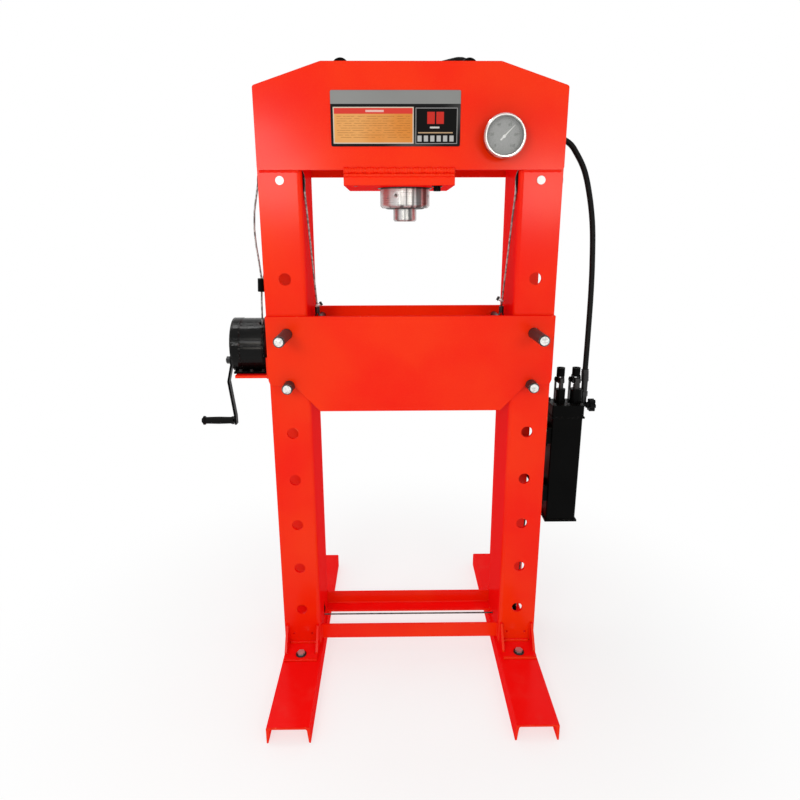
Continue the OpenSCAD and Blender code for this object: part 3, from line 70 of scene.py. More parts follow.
# The studio: a plain pale floor that fades into a white surround, under two soft boxes and a strip
# beside the camera, one box overhead and an even white room light. None of it is part of the press.
class Wire:
    """A socket in a finish's nodes. Sums and products of wires add Math nodes."""

    def __init__(self, tree, socket=None):
        self.tree = tree
        self.socket = socket

    def node(self, kind, settings, sockets, out=0):
        made = self.tree.nodes.new(kind)
        for name, value in settings.items():
            setattr(made, name, value)
        for name, value in sockets.items():
            if isinstance(value, Wire):
                self.tree.links.new(value.socket, made.inputs[name])
            else:
                made.inputs[name].default_value = value
        return Wire(self.tree, made.outputs[out])

    def maths(self, operation, *values):
        return self.node("ShaderNodeMath", {"operation": operation}, dict(enumerate(values)))

    def __add__(self, other):
        return self.maths("ADD", self, other)

    __radd__ = __add__

    def __sub__(self, other):
        return self.maths("SUBTRACT", self, other)

    def __rsub__(self, other):
        return self.maths("SUBTRACT", other, self)

    def __mul__(self, other):
        return self.maths("MULTIPLY", self, other)

    __rmul__ = __mul__

    def __abs__(self):
        return self.maths("ABSOLUTE", self)

    def rise(self, low, high):
        return self.node(
            "ShaderNodeMapRange", {"interpolation_type": "SMOOTHSTEP"}, {0: self, 1: low, 2: high}
        )

    def tint(self, bare, full):
        return self.node("ShaderNodeMix", {"data_type": "RGBA"}, {0: self, 6: bare, 7: full}, 2)

    def noise(self, scale, detail=2.0, roughness=0.5):
        sockets = {"Vector": self, "Scale": scale, "Detail": detail, "Roughness": roughness}
        return self.node("ShaderNodeTexNoise", {}, sockets)

    def stretched(self, scale):
        return self.node("ShaderNodeMapping", {}, {"Vector": self, "Scale": scale})

    def parts(self):
        first = self.node("ShaderNodeSeparateXYZ", {}, {0: self})
        return [Wire(self.tree, s) for s in first.socket.node.outputs]

    def into(self, shader, name):
        self.tree.links.new(self.socket, shader.inputs[name])

    def relief(self, shader, strength, depth, **over):
        """Uses this height as fine relief in the shader, over another normal if one is given."""
        sockets = {"Strength": strength, "Distance": depth, "Height": self, **over}
        self.node("ShaderNodeBump", {}, sockets, "Normal").into(shader, "Normal")


def new_finish(name, **fixed):
    finish = bpy.data.materials.new(name)
    finish.use_nodes = True
    shader = finish.node_tree.nodes["Principled BSDF"]
    for socket, value in fixed.items():
        shader.inputs[socket.replace("_", " ")].default_value = value
    place = Wire(finish.node_tree).node("ShaderNodeTexCoord", {}, {}, "Object")
    return finish, shader, place


floor_mesh = bmesh.new()
bmesh.ops.create_circle(floor_mesh, cap_ends=True, segments=96, radius=9)
floor_data = bpy.data.meshes.new("studio_floor")
floor_mesh.to_mesh(floor_data)
floor_mesh.free()
studio_floor = bpy.data.objects.new("studio_floor", floor_data)
bpy.context.collection.objects.link(studio_floor)
floor_finish, floor_shader, floor_place = new_finish(
    "studio_floor", Roughness=0.95, Base_Color=(0.92, 0.92, 0.92, 1), Specular_IOR_Level=0.1
)
from_press = floor_place.node(
    "ShaderNodeVectorMath", {"operation": "LENGTH"}, {0: floor_place}, "Value"
)
white_glow = floor_place.node("ShaderNodeEmission", {}, {"Color": (1, 1, 1, 1), "Strength": 1.0})
floor_cover = floor_place.node(
    "ShaderNodeMixShader",
    {},
    {
        0: 0.66 + 0.34 * from_press.rise(0.5, 1.5),
        1: Wire(floor_finish.node_tree, floor_shader.outputs[0]),
        2: white_glow,
    },
)
floor_cover.into(floor_finish.node_tree.nodes["Material Output"], "Surface")
floor_data.materials.append(floor_finish)

room = bpy.data.worlds.new("studio_room")
room.use_nodes = True
bpy.context.scene.world = room
rays = Wire(room.node_tree).node("ShaderNodeLightPath", {}, {}, "Is Camera Ray").socket.node.outputs
seen = [Wire(room.node_tree, rays[n]) for n in ("Is Camera Ray", "Is Glossy Ray", "Is Transmission Ray")]
backdrop = seen[0].maths("MAXIMUM", seen[0].maths("MAXIMUM", seen[0], seen[1]), seen[2])
room_light = room.node_tree.nodes["Background"]
room_light.inputs["Color"].default_value = (1, 1, 1, 1)
(0.70 + 0.30 * backdrop).into(room_light, "Strength")


def soft_box(name, at, target, width, height, power, colour=(1, 1, 1)):
    light = bpy.data.lights.new(name, "AREA")
    light.shape = "RECTANGLE"
    light.size = width
    light.size_y = height
    light.energy = power
    light.color = colour
    lamp = bpy.data.objects.new(name, light)
    aim = (Vector(target) - Vector(at)).to_track_quat("-Z", "Y").to_matrix().to_4x4()
    lamp.matrix_world = Matrix.Translation(at) @ aim
    bpy.context.collection.objects.link(lamp)


warm_white = (1, 0.94, 0.84)
soft_box(
    "left_soft_box", (-0.80, -2.50, 1.62), (-0.2, 0, 1.1), width=0.5, height=0.32, power=8.5, colour=warm_white
)
soft_box(
    "right_soft_box", (0.92, -2.50, 1.58), (0.2, 0, 1.1), width=0.5, height=0.32, power=7.5, colour=warm_white
)
soft_box("side_strip", (-1.08, -2.48, 1.90), (-0.2, 0, 1.1), width=0.7, height=0.08, power=6)
soft_box("overhead_box", (-0.85, 0.30, 3.05), (-0.45, 0, 1.0), width=1.6, height=0.15, power=15)


# The outer hose: wire-braided rubber hydraulic hose that hangs from the nipple in the right post
# down to the elbow on the pump head. Its wrapped cover leaves a fine diagonal weave.
def lay_route(points, step):
    """A smooth line through the points, with a point about every step."""
    points = [Vector(p) for p in points]
    line = []
    for i in range(len(points) - 1):
        p0, p1 = points[max(i - 1, 0)], points[i]
        p2, p3 = points[i + 1], points[min(i + 2, len(points) - 1)]
        parts = max(1, round((p2 - p1).length / step))
        for j in range(parts):
            t = j / parts
            bend = (2 * p0 - 5 * p1 + 4 * p2 - p3) * t * t + (3 * p1 - p0 - 3 * p2 + p3) * t ** 3
            line.append(p1 + ((p2 - p0) * t + bend) * 0.5)
    return line + [points[-1]]


def round_bend(x, y, z, r, start, end, parts):
    """Points of an arc in an upright plane across the press, from one angle to another."""
    angles = [math.radians(start + (end - start) * i / parts) for i in range(parts + 1)]
    return [Vector((x + r * math.cos(a), y, z + r * math.sin(a))) for a in angles]


def keep_piece(name, mesh, finish, body, smooth=True):
    """Turns a finished mesh into a piece with its finish, riding on a body of the press."""
    for face in mesh.faces:
        face.smooth = smooth
    data = bpy.data.meshes.new(name)
    mesh.to_mesh(data)
    mesh.free()
    data.materials.append(finish)
    piece = bpy.data.objects.new(name, data)
    bpy.context.collection.objects.link(piece)
    if body:
        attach(piece, body)
    return piece


def sweep(mesh, line, width, sides):
    """A round tube along a line. Its map runs in metres along the tube and once round it."""
    lay = mesh.loops.layers.uv.get("lay") or mesh.loops.layers.uv.new("lay")
    side = (line[1] - line[0]).orthogonal()
    rings, runs, gone = [], [], 0.0
    for i, point in enumerate(line):
        way = (line[min(i + 1, len(line) - 1)] - line[max(i - 1, 0)]).normalized()
        side = (side - way * side.dot(way)).normalized()
        over = way.cross(side)
        gone += (point - line[i - 1]).length if i else 0.0
        r = (width(gone) if callable(width) else width) / 2
        angles = [math.tau * j / sides for j in range(sides)]
        rings.append([mesh.verts.new(point + (side * math.cos(a) + over * math.sin(a)) * r) for a in angles])
        runs.append(gone)
    for i in range(len(line) - 1):
        for j in range(sides):
            k = (j + 1) % sides
            wall = mesh.faces.new((rings[i][j], rings[i][k], rings[i + 1][k], rings[i + 1][j]))
            for loop, (u, v) in zip(wall.loops, ((i, j), (i, j + 1), (i + 1, j + 1), (i + 1, j))):
                loop[lay].uv = (runs[u], v / sides)
    mesh.faces.new(rings[0][::-1])
    mesh.faces.new(rings[-1])
    return gone


hose_finish, hose_shader, hose_place = new_finish("wrapped_rubber", Specular_IOR_Level=0.10)
hose_u, hose_v = hose_place.node("ShaderNodeTexCoord", {}, {}, "UV").parts()[:2]
wrap_one = hose_u.maths("SINE", hose_u * 900 + hose_v * math.tau * 6)
wrap_two = hose_u.maths("SINE", hose_u * 900 - hose_v * math.tau * 6)
weave = wrap_one * wrap_two
scuffs = hose_place.noise(60, 5, 0.65).rise(0.52, 0.75)
dull = hose_place.noise(9, 3)
rubber = (scuffs * 0.5 + weave * 0.10).tint((0.003, 0.003, 0.003, 1), (0.026, 0.025, 0.024, 1))
rubber.into(hose_shader, "Base Color")
(0.34 + 0.16 * dull + 0.2 * scuffs).into(hose_shader, "Roughness")
(weave + 0.6 * scuffs).relief(hose_shader, strength=0.35, depth=0.0004)

hose_width = 0.016
hose_start, hose_end = Vector((0.408, 0.045, 1.591)), Vector((0.525, -0.035, 0.905))
hose_bow = (
    (0.117, 0.076, 0.009), (0.214, 0.084, 0.011), (0.341, 0.081, 0.006), (0.488, 0.068, 0.005),
    (0.637, 0.050, 0.003), (0.818, 0.024, -0.001), (0.950, 0.005, -0.002),
)
hose_guide = round_bend(0.410, 0.045, 1.521, 0.070, 90, 38, 6)
hose_guide += [hose_start.lerp(hose_end, along) + Vector((out, back, 0)) for along, out, back in hose_bow]
hose_guide.append(hose_end + Vector((0, 0, 0.004)))
hose_line = [hose_start] + lay_route(hose_guide, step=0.008) + [hose_end]
hose_mesh = bmesh.new()
hose_length = sweep(hose_mesh, hose_line, hose_width, sides=24)
outer_hose = keep_piece("outer_hose", hose_mesh, hose_finish, "frame")
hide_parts("hose")


# The inner hose: the same hose from the cylinder's port, in a bow over the crown's edge and down
# inside the crown to the nipple. Only the bow shows above the crown.
inner_start, inner_end = Vector((0.045, 0.035, 1.766)), Vector((0.277, 0.045, 1.591))
inner_top = round_bend(0.133, 0.045, 1.715, 0.072, 90, 0, 6)
inner_foot = round_bend(0.275, 0.045, 1.661, 0.070, 180, 270, 6)
inner_rise = (inner_start + inner_top[0]) / 2
inner_guide = [inner_start + Vector((0.003, 0, 0)), inner_rise] + inner_top + inner_foot
inner_line = [inner_start] + lay_route(inner_guide, step=0.008) + [inner_end]
inner_mesh = bmesh.new()
inner_length = sweep(inner_mesh, inner_line, hose_width, sides=24)
inner_hose = keep_piece("inner_hose_piece", inner_mesh, hose_finish, "frame")
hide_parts("inner_hose")


# The crimped sleeves at the hose ends: steel ferrules pressed on in rings over the rubber and blacked.
# Each sits against its fitting.
def turned(name, outline, centre, along, finish, body, steps=40):
    """A piece turned on a lathe: an outline of (distance along, radius) spun round its axis."""
    mesh = bmesh.new()
    along = Vector(along).normalized()
    across = along.orthogonal().normalized()
    points = [mesh.verts.new(Vector(centre) + along * d + across * max(r, 1e-5)) for d, r in outline]
    edges = [mesh.edges.new(pair) for pair in zip(points, points[1:])]
    bmesh.ops.spin(
        mesh, geom=points + edges, cent=centre, axis=along, angle=math.tau, steps=steps, use_merge=True
    )
    bmesh.ops.remove_doubles(mesh, verts=mesh.verts[:], dist=4e-5)
    bmesh.ops.holes_fill(mesh, edges=mesh.edges[:], sides=steps + 1)
    bmesh.ops.recalc_face_normals(mesh, faces=mesh.faces[:])
    piece = keep_piece(name, mesh, finish, body)
    crease = piece.modifiers.new("crease", "EDGE_SPLIT")
    crease.split_angle = math.radians(32)
    return piece


dark_finish, dark_shader, dark_place = new_finish("oiled_steel", Metallic=0.7)
dark_cloud = dark_place.noise(32, 4, 0.6)
dark_fine = dark_place.noise(400, 3)
dark_cloud.tint((0.012, 0.012, 0.013, 1), (0.05, 0.05, 0.05, 1)).into(dark_shader, "Base Color")
(0.30 + 0.2 * dark_cloud).into(dark_shader, "Roughness")
dark_fine.relief(dark_shader, strength=0.12, depth=0.0003)

crimp = [(0, 0.0086), (0, 0.0105)]
for ring in range(5):
    along = ring * 0.006
    crimp += [(0.003 + along, 0.0112), (0.005 + along, 0.0112), (0.0065 + along, 0.0102)]
crimp += [(0.036, 0.0108), (0.036, 0.0086)]
for name, start, second in (
    ("outer_hose_foot_sleeve", hose_line[-1], hose_line[-5]),
    ("inner_hose_top_sleeve", inner_line[0], inner_line[4]),
):
    sleeve = turned(name, crimp, start, second - start, dark_finish, "frame")


# The wire ropes: galvanised rope of six strands laid round a core, greased dark. One runs from the
# winch drum over the left sheave, one crosses to the right post, and two short falls carry the bed.
rope_finish, rope_shader, rope_place = new_finish("galvanised_rope", Metallic=0.8)
rope_u, rope_v = rope_place.node("ShaderNodeTexCoord", {}, {}, "UV").parts()[:2]
strand = abs(rope_u.maths("SINE", rope_u * 210 + rope_v * math.pi * 6))
wires = abs(rope_u.maths("SINE", rope_u * 1500 - rope_v * math.pi * 20))
grease = rope_place.noise(110, 4, 0.6).rise(0.42, 0.58)
rope_low = rope_place.parts()[2].rise(0.3, 0.9)
lay_tone = strand * (0.75 + 0.25 * wires) * (1 - 0.7 * grease) * (0.25 + 0.75 * rope_low)
lay_tone.tint((0.025, 0.024, 0.022, 1), (0.80, 0.78, 0.76, 1)).into(rope_shader, "Base Color")
(0.34 + 0.2 * grease).into(rope_shader, "Roughness")
(strand + 0.2 * wires).relief(rope_shader, strength=0.8, depth=0.0006)

rope_width = 0.005
post_x, axle_z, lift_y = 0.3425, 1.4675, -0.085
lift_r, guide_r, bottom_z = 0.061, 0.020, 0.106
clip_top, sheave_side = Vector((-0.416, -0.060, 1.212)), Vector((-post_x - lift_r, lift_y, axle_z))
slack_run = sheave_side.z - clip_top.z
slack_bow = (
    (0, 0, 0), (0.19, -0.025, 0.011), (0.36, -0.049, 0.012), (0.52, -0.061, 0.012),
    (0.70, -0.053, 0.009), (0.84, -0.029, 0.004),
)
winch_run = [
    Vector((-0.4235, -0.058, 1.017)), Vector((-0.420, -0.058, 1.150)), Vector((-0.418, -0.059, 1.176)),
]
winch_run += [
    clip_top.lerp(sheave_side, along) + Vector((out, back, 0)) * slack_run for along, out, back in slack_bow
]
winch_run += round_bend(-post_x, lift_y, axle_z, lift_r, 180, 0, 28)
cross_run = [
    Vector((-0.413, -0.0549, 1.194)), Vector((-0.412, -0.0554, 1.212)), Vector((-0.396, -0.040, 1.2868)),
]
cross_run += round_bend(-post_x, 0, axle_z, guide_r, 180, 0, 14)
cross_run += round_bend(-0.3045, 0, bottom_z, guide_r, 180, 270, 8)
cross_run += round_bend(post_x, 0, bottom_z, guide_r, 270, 360, 8)
cross_run += round_bend(post_x, lift_y, axle_z, lift_r, 0, 180, 28)
for node, run in (("winch_rope", winch_run), ("cross_rope", cross_run)):
    rope_mesh = bmesh.new()
    sweep(rope_mesh, run, rope_width, sides=12)
    rope = keep_piece(f"{node}_laid", rope_mesh, rope_finish, "frame")
    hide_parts(node)
falls_mesh = bmesh.new()
for side in (-1, 1):
    top = Vector((side * 0.2815, lift_y, axle_z))
    lead, foot = Vector((side * 0.2815, lift_y, 1.437)), Vector((side * 0.268, -0.020, 1.1283))
    sweep(falls_mesh, [top] + [lead.lerp(foot, i / 40) for i in range(41)], rope_width, sides=12)
rope_falls = keep_piece("rope_falls", falls_mesh, rope_finish, None)
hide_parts("lift_ropes")
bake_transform(rope_falls)


# The feet, posts, shoes and cross rails: rolled and folded steel, welded and sprayed with a thick
# orange-red gloss paint. The paint is a little uneven and is chipped to its pale primer on the edges.
def dress(finish, *names):
    for name in names:
        for slot in nodes[name].material_slots:
            slot.material = finish


red_finish, red_shader, red_place = new_finish(
    "red_enamel", Specular_IOR_Level=0.0, Coat_Weight=0.028, Coat_IOR=4.0, Coat_Roughness=0.20
)
round_edge = red_place.node("ShaderNodeBevel", {"samples": 4}, {"Radius": 0.0022})
true_face = red_place.node("ShaderNodeNewGeometry", {}, {}, "Normal")
facing = red_place.node(
    "ShaderNodeVectorMath", {"operation": "DOT_PRODUCT"}, {0: round_edge, 1: true_face}, "Value"
)
at_edge = (1 - facing).rise(0.015, 0.12)
flakes = red_place.noise(85, 6, 0.7)
chips = at_edge * flakes.rise(0.57, 0.62) * red_place.noise(7, 2).rise(0.42, 0.60)
thick = red_place.noise(3.2, 3)
peel = red_place.noise(520, 2)
dents = red_place.noise(26, 3)
face_y, face_z = true_face.parts()[1:]
red_z = red_place.parts()[2]
dust = face_z.rise(0.6, 0.98) * red_place.noise(14, 5, 0.65).rise(0.45, 0.85) * (1 - red_z.rise(0.1, 0.4))
build_up = thick.rise(0.30, 0.70) * 0.8 + peel.rise(0.45, 0.75) * 0.35
front_sheen_coat = build_up.tint((0.84, 0.009, 0.001, 1), (0.87, 0.034, 0.003, 1))
# Faces that look forwards or back are painted a lighter orange than the sides and tops: painted sheen.
paint = abs(face_y).rise(0.2, 0.9).tint((0.91, 0.005, 0.004, 1), front_sheen_coat)
paint = (dust * 0.05).tint(paint, (0.62, 0.30, 0.22, 1))
(chips * 0.8).tint(paint, (0.85, 0.42, 0.18, 1)).into(red_shader, "Base Color")
(0.36 + 0.10 * thick + 0.2 * dust + 0.2 * chips).into(red_shader, "Roughness")
(peel * 0.6 + dents - chips * 1.5).relief(red_shader, strength=0.35, depth=0.0010, Normal=round_edge)
dress(red_finish, "left_foot", "right_foot", "left_post", "right_post")
dress(red_finish, "shoe_brackets", "front_rail", "rear_rail")


# The welds of the frame: ripple beads laid by hand where the shoes, rails and crown meet the posts,
# painted over with the rest.
def ripple(leg):
    return lambda run: leg * (1 + 0.13 * math.sin(run / leg * 13) + 0.12 * math.sin(run / leg * 3.1))


def lay_beads(mesh, runs):
    for start, end, leg in runs:
        start, end = Vector(start), Vector(end)
        count = max(3, int((end - start).length / 0.0012))
        sweep(mesh, [start.lerp(end, i / count) for i in range(count + 1)], ripple(leg), sides=8)


bead_mesh = bmesh.new()
for side in (-1, 1):
    for face in (-1, 1):
        lay_beads(bead_mesh, [
            ((side * 0.2925, face * 0.1112, 1.4915), (side * 0.394, face * 0.1112, 1.4915), 0.009),
            ((side * 0.3005, face * 0.1120, 0.0610), (side * 0.3845, face * 0.1120, 0.0610), 0.011),
            ((side * 0.2915, face * 0.1885, 0.0530), (side * 0.3935, face * 0.1885, 0.0530), 0.008),
            ((side * 0.2980, face * 0.1130, 0.0590), (side * 0.2980, face * 0.1660, 0.0590), 0.006),
            ((side * 0.3870, face * 0.1130, 0.0590), (side * 0.3870, face * 0.1660, 0.0590), 0.006),
            ((side * 0.2980, face * 0.1105, 0.0640), (side * 0.2980, face * 0.1105, 0.1230), 0.006),
            ((side * 0.3870, face * 0.1105, 0.0640), (side * 0.3870, face * 0.1105, 0.1230), 0.006),
            ((side * 0.2845, face * 0.0955, 0.0660), (side * 0.2845, face * 0.0955, 0.1120), 0.007),
            ((side * 0.2845, face * 0.0480, 0.0705), (side * 0.2845, face * 0.0880, 0.0705), 0.006),
        ])
frame_welds = keep_piece("frame_welds", bead_mesh, red_finish, "frame")


# The crown: two flame-cut plates on the posts, with bars between them and a thick plate below that
# carries the cylinder. All welded and painted with the frame.
dress(red_finish, "crown_front_plate", "crown_rear_plate", "crown_spacers", "cylinder_mount_plate")
bead_mesh = bmesh.new()
for face in (-1, 1):
    lay_beads(bead_mesh, [
        ((-0.173, face * 0.1270, 1.4905), (0.113, face * 0.1270, 1.4905), 0.015),
        ((-0.173, face * 0.1262, 1.4790), (0.113, face * 0.1262, 1.4790), 0.010),
        ((-0.173, face * 0.1085, 1.4925), (0.113, face * 0.1085, 1.4925), 0.009),
    ])
    for x in (-0.185, 0.159):
        lay_beads(bead_mesh, [
            ((x - 0.0155, face * 0.1095, 1.702), (x - 0.0155, face * 0.1095, 1.734), 0.007),
            ((x + 0.0155, face * 0.1095, 1.702), (x + 0.0155, face * 0.1095, 1.734), 0.007),
        ])
crown_welds = keep_piece("crown_welds", bead_mesh, red_finish, "frame")


# The black enamel pieces of the crown: forged lifting eyes screwed into the bars, and a hexagon screw
# in the cylinder's plate from below. The hole for its fellow on the left is empty; a thin black disc
# at its mouth is painted shade.
def black_enamel(name, rounding, gloss, rough):
    """Thick black paint, worn grey by rubbing on edges rounded by this much, the grey partly painted edge
    highlight, and dusty on top.
    """
    finish, shader, place = new_finish(name, Specular_IOR_Level=gloss)
    edge = place.node("ShaderNodeBevel", {"samples": 6}, {"Radius": rounding})
    face = place.node("ShaderNodeNewGeometry", {}, {}, "Normal")
    along = place.node(
        "ShaderNodeVectorMath", {"operation": "DOT_PRODUCT"}, {0: edge, 1: face}, "Value"
    )
    # The grey on the edges is partly rubbed wear and partly painted edge highlight.
    wear_and_edge_highlight = (1 - along).rise(0.05, 0.25) * place.noise(120, 4, 0.6).rise(0.5, 0.62)
    film = place.noise(11, 4, 0.6)
    grain = place.noise(480, 2)
    settled = face.parts()[2].rise(0.5, 0.95) * place.noise(30, 5, 0.7).rise(0.4, 0.8)
    enamel = film.tint((0.0010, 0.0010, 0.0010, 1), (0.0028, 0.0028, 0.0027, 1))
    enamel = (settled * 0.20).tint(enamel, (0.060, 0.057, 0.053, 1))
    (wear_and_edge_highlight * 0.60).tint(enamel, (0.16, 0.155, 0.15, 1)).into(shader, "Base Color")
    (rough + 0.15 * film + 0.25 * settled).into(shader, "Roughness")
    (grain + film).relief(shader, strength=0.08, depth=0.0004, Normal=edge)
    return finish


black_finish = black_enamel("black_enamel", rounding=0.0012, gloss=0.035, rough=0.22)
dress(black_finish, "lifting_eyes")


def hex_screw(name, seat, along, across, height, finish, body):
    """A hexagon screw head with its washer, standing on a seat."""
    mesh = bmesh.new()
    lean = Vector(along).to_track_quat("Z", "Y").to_matrix().to_4x4()
    washer_r, corner_r = across * 0.78, across / math.sqrt(3)
    bmesh.ops.create_cone(
        mesh, cap_ends=True, segments=28, radius1=washer_r, radius2=washer_r, depth=height * 0.22,
        matrix=Matrix.Translation((0, 0, height * 0.11)),
    )
    bmesh.ops.create_cone(
        mesh, cap_ends=True, segments=6, radius1=corner_r, radius2=corner_r, depth=height,
        matrix=Matrix.Translation((0, 0, height * 0.72)),
    )
    rims = [e for e in mesh.edges if all(v.co.z > height * 0.2 for v in e.verts)]
    bmesh.ops.bevel(
        mesh, geom=rims, offset=across * 0.06, offset_type="OFFSET", segments=2, profile=0.5,
        affect="EDGES", material=-1,
    )
    bmesh.ops.transform(mesh, matrix=Matrix.Translation(seat) @ lean, verts=mesh.verts[:])
    return keep_piece(name, mesh, finish, body, smooth=False)


plate_screw = hex_screw(
    "plate_screw", (0.070, -0.100, 1.454), (0, 0, -1), across=0.019, height=0.011,
    finish=black_finish, body="frame",
)
# A thin black disc under the plate is painted shade standing in for the empty hole.
hole_shade_disc = turned(
    "painted_hole_shade", [(0, 0), (0, 0.0052), (0.0004, 0.0056), (0.0008, 0.0056), (0.0008, 0)],
    (-0.1445, -0.100, 1.4534), (0, 0, 1), black_finish, "frame", steps=24,
)


# The label plate: a thin printed metal plate on the crown's front. Its printing is left as plain fields
# and bars: a bare grey band, a warm panel under a red head, and a black panel with a red block.
label_finish, label_shader, label_place = new_finish(
    "label_print", Specular_IOR_Level=0.0, Coat_Weight=0.01, Coat_IOR=4.0, Coat_Roughness=0.15
)
label_x, label_z = label_place.parts()[::2]


def field(x0, x1, z0, z1, soft=0.0006):
    """One where the label's face is inside a rectangle, nought outside it."""
    wide = label_x.rise(x0 - soft, x0 + soft) * (1 - label_x.rise(x1 - soft, x1 + soft))
    return wide * label_z.rise(z0 - soft, z0 + soft) * (1 - label_z.rise(z1 - soft, z1 + soft))


streak = label_place.noise(5, 2)
# A lighter diagonal streak across the plate's dark ground is painted reflection.
slant = label_x * 0.6 - label_z + 1.60
painted_glare = slant.rise(0.0, 0.045) * (1 - slant.rise(0.045, 0.11))
printed = painted_glare.tint((0.010, 0.010, 0.011, 1), (0.055, 0.055, 0.054, 1))
band = streak.tint((0.21, 0.215, 0.21, 1), (0.27, 0.275, 0.27, 1))
printed = field(-0.203, 0.125, 1.6475, 1.679).tint(printed, band)
printed = field(-0.197, 0.0065, 1.5545, 1.6405).tint(printed, (0.60, 0.52, 0.42, 1))
warm = streak.rise(0.35, 0.65).tint((0.62, 0.22, 0.040, 1), (0.70, 0.34, 0.11, 1))
printed = field(-0.1945, 0.004, 1.557, 1.638).tint(printed, warm)
rows = label_z.maths("SINE", label_z * 1150).rise(0.35, 0.75)
broken = label_place.stretched((1.0, 0.0, 3.0)).noise(90, 2)
lines = rows * broken.rise(0.42, 0.50) * field(-0.188, -0.002, 1.5650, 1.6210)
printed = (lines * 0.45).tint(printed, (0.20, 0.075, 0.020, 1))
printed = field(-0.1945, 0.004, 1.6245, 1.638).tint(printed, (0.62, 0.048, 0.036, 1))
printed = (field(-0.115, -0.069, 1.6285, 1.6335) * 0.7).tint(printed, (0.75, 0.60, 0.55, 1))
printed = field(0.0115, 0.1175, 1.554, 1.6385).tint(printed, (0.30, 0.30, 0.30, 1))
printed = field(0.0130, 0.1160, 1.5555, 1.637).tint(printed, (0.006, 0.006, 0.006, 1))
printed = field(0.0410, 0.0600, 1.601, 1.629).tint(printed, (0.52, 0.030, 0.022, 1))
printed = field(0.0640, 0.0830, 1.601, 1.629).tint(printed, (0.52, 0.030, 0.022, 1))
printed = field(0.0480, 0.0720, 1.5905, 1.5945).tint(printed, (0.55, 0.54, 0.52, 1))
printed = field(0.0180, 0.1060, 1.5790, 1.5815).tint(printed, (0.50, 0.34, 0.20, 1))
for mark in range(6):
    left = 0.0165 + mark * 0.0163
    printed = field(left, left + 0.0105, 1.5595, 1.5735).tint(printed, (0.42, 0.42, 0.41, 1))
printed.into(label_shader, "Base Color")
rubs = label_place.noise(140, 4, 0.6)
(0.24 + 0.14 * rubs).into(label_shader, "Roughness")
rubs.relief(label_shader, strength=0.05, depth=0.0003)
dress(label_finish, "label_plate")


# The pressure gauge: a drawn case with a bright rolled bezel, a silvery dial with a printed scale, a
# pale needle on its spindle, and a flat glass.
bright_finish, bright_shader, bright_place = new_finish("bright_bezel", Metallic=1.0)
buffed = bright_place.noise(70, 3)
buffed.tint((0.52, 0.515, 0.505, 1), (0.72, 0.715, 0.70, 1)).into(bright_shader, "Base Color")
(0.16 + 0.14 * buffed).into(bright_shader, "Roughness")
dress(bright_finish, "gauge_bezel")
dress(black_finish, "gauge_case")
dial_finish, dial_shader, dial_place = new_finish("dial_enamel", Specular_IOR_Level=0.2)
brushed = dial_place.noise(240, 3)
brushed.tint((0.20, 0.205, 0.20, 1), (0.30, 0.305, 0.30, 1)).into(dial_shader, "Base Color")
(0.45 + 0.1 * brushed).into(dial_shader, "Roughness")
dress(dial_finish, "gauge_dial")
needle_finish, needle_shader, needle_place = new_finish("needle_pale")
needle_mottle = needle_place.noise(300, 2)
needle_mottle.tint((0.66, 0.66, 0.65, 1), (0.80, 0.80, 0.79, 1)).into(needle_shader, "Base Color")
(0.4 + 0.15 * needle_mottle).into(needle_shader, "Roughness")
dress(needle_finish, "gauge_needle")
glass_finish, glass_shader, glass_place = new_finish(
    "gauge_window", Base_Color=(0.92, 0.95, 0.95, 1), Alpha=0.08
)
smears = glass_place.noise(40, 3)
(0.04 + 0.06 * smears).into(glass_shader, "Roughness")
dress(glass_finish, "gauge_glass")

ink_finish, ink_shader, ink_place = new_finish("dial_ink", Specular_IOR_Level=0.2)
ink_mottle = ink_place.noise(300, 2)
ink_mottle.tint((0.030, 0.030, 0.030, 1), (0.060, 0.060, 0.060, 1)).into(ink_shader, "Base Color")
(0.5 + 0.15 * ink_mottle).into(ink_shader, "Roughness")
gauge_centre = Vector((0.232, -0.1597, 1.567))
scale_start, scale_sweep, figure_r = 225, 270, 0.0305
scale_mesh = bmesh.new()
for mark in range(41):
    angle = math.radians(scale_start - scale_sweep * mark / 40)
    major = mark % 8 == 0
    bmesh.ops.create_cube(
        scale_mesh, size=1,
        matrix=Matrix.Translation(gauge_centre) @ Matrix.Rotation(-angle, 4, "Y")
        @ Matrix.Translation((0.0395 if major else 0.0408, 0, 0))
        @ Matrix.Diagonal((0.0065 if major else 0.0038, 0.0002, 0.0010 if major else 0.0005, 1)),
    )
for arc in range(54):
    angle = math.radians(scale_start - scale_sweep * (arc + 0.5) / 54)
    bmesh.ops.create_cube(
        scale_mesh, size=1,
        matrix=Matrix.Translation(gauge_centre) @ Matrix.Rotation(-angle, 4, "Y")
        @ Matrix.Translation((0.0430, 0, 0)) @ Matrix.Diagonal((0.0005, 0.0002, 0.0040, 1)),
    )
dial_scale = keep_piece("dial_scale", scale_mesh, ink_finish, "frame", smooth=False)
for step in range(6):
    angle = math.radians(scale_start - scale_sweep * step / 5)
    figure = bpy.data.curves.new(f"dial_figure_{step}", "FONT")
    figure.body = str(step * 20)
    figure.size = 0.0095
    figure.align_x = "CENTER"
    figure.align_y = "CENTER"
    figure.extrude = 0.0001
    lettering = bpy.data.objects.new(f"dial_lettering_{step}", figure)
    bpy.context.collection.objects.link(lettering)
    bpy.context.view_layer.update()
    figure_data = bpy.data.meshes.new_from_object(lettering)
    bpy.data.objects.remove(lettering)
    spot = gauge_centre + Vector((math.cos(angle) * figure_r, 0, math.sin(angle) * figure_r))
    figure_data.transform(Matrix.Translation(spot) @ Matrix.Rotation(math.pi / 2, 4, "X"))
    figure_data.materials.clear()
    figure_data.materials.append(ink_finish)
    dial_figure = bpy.data.objects.new(f"dial_figure_{step}", figure_data)
    bpy.context.collection.objects.link(dial_figure)
    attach(dial_figure, "frame")


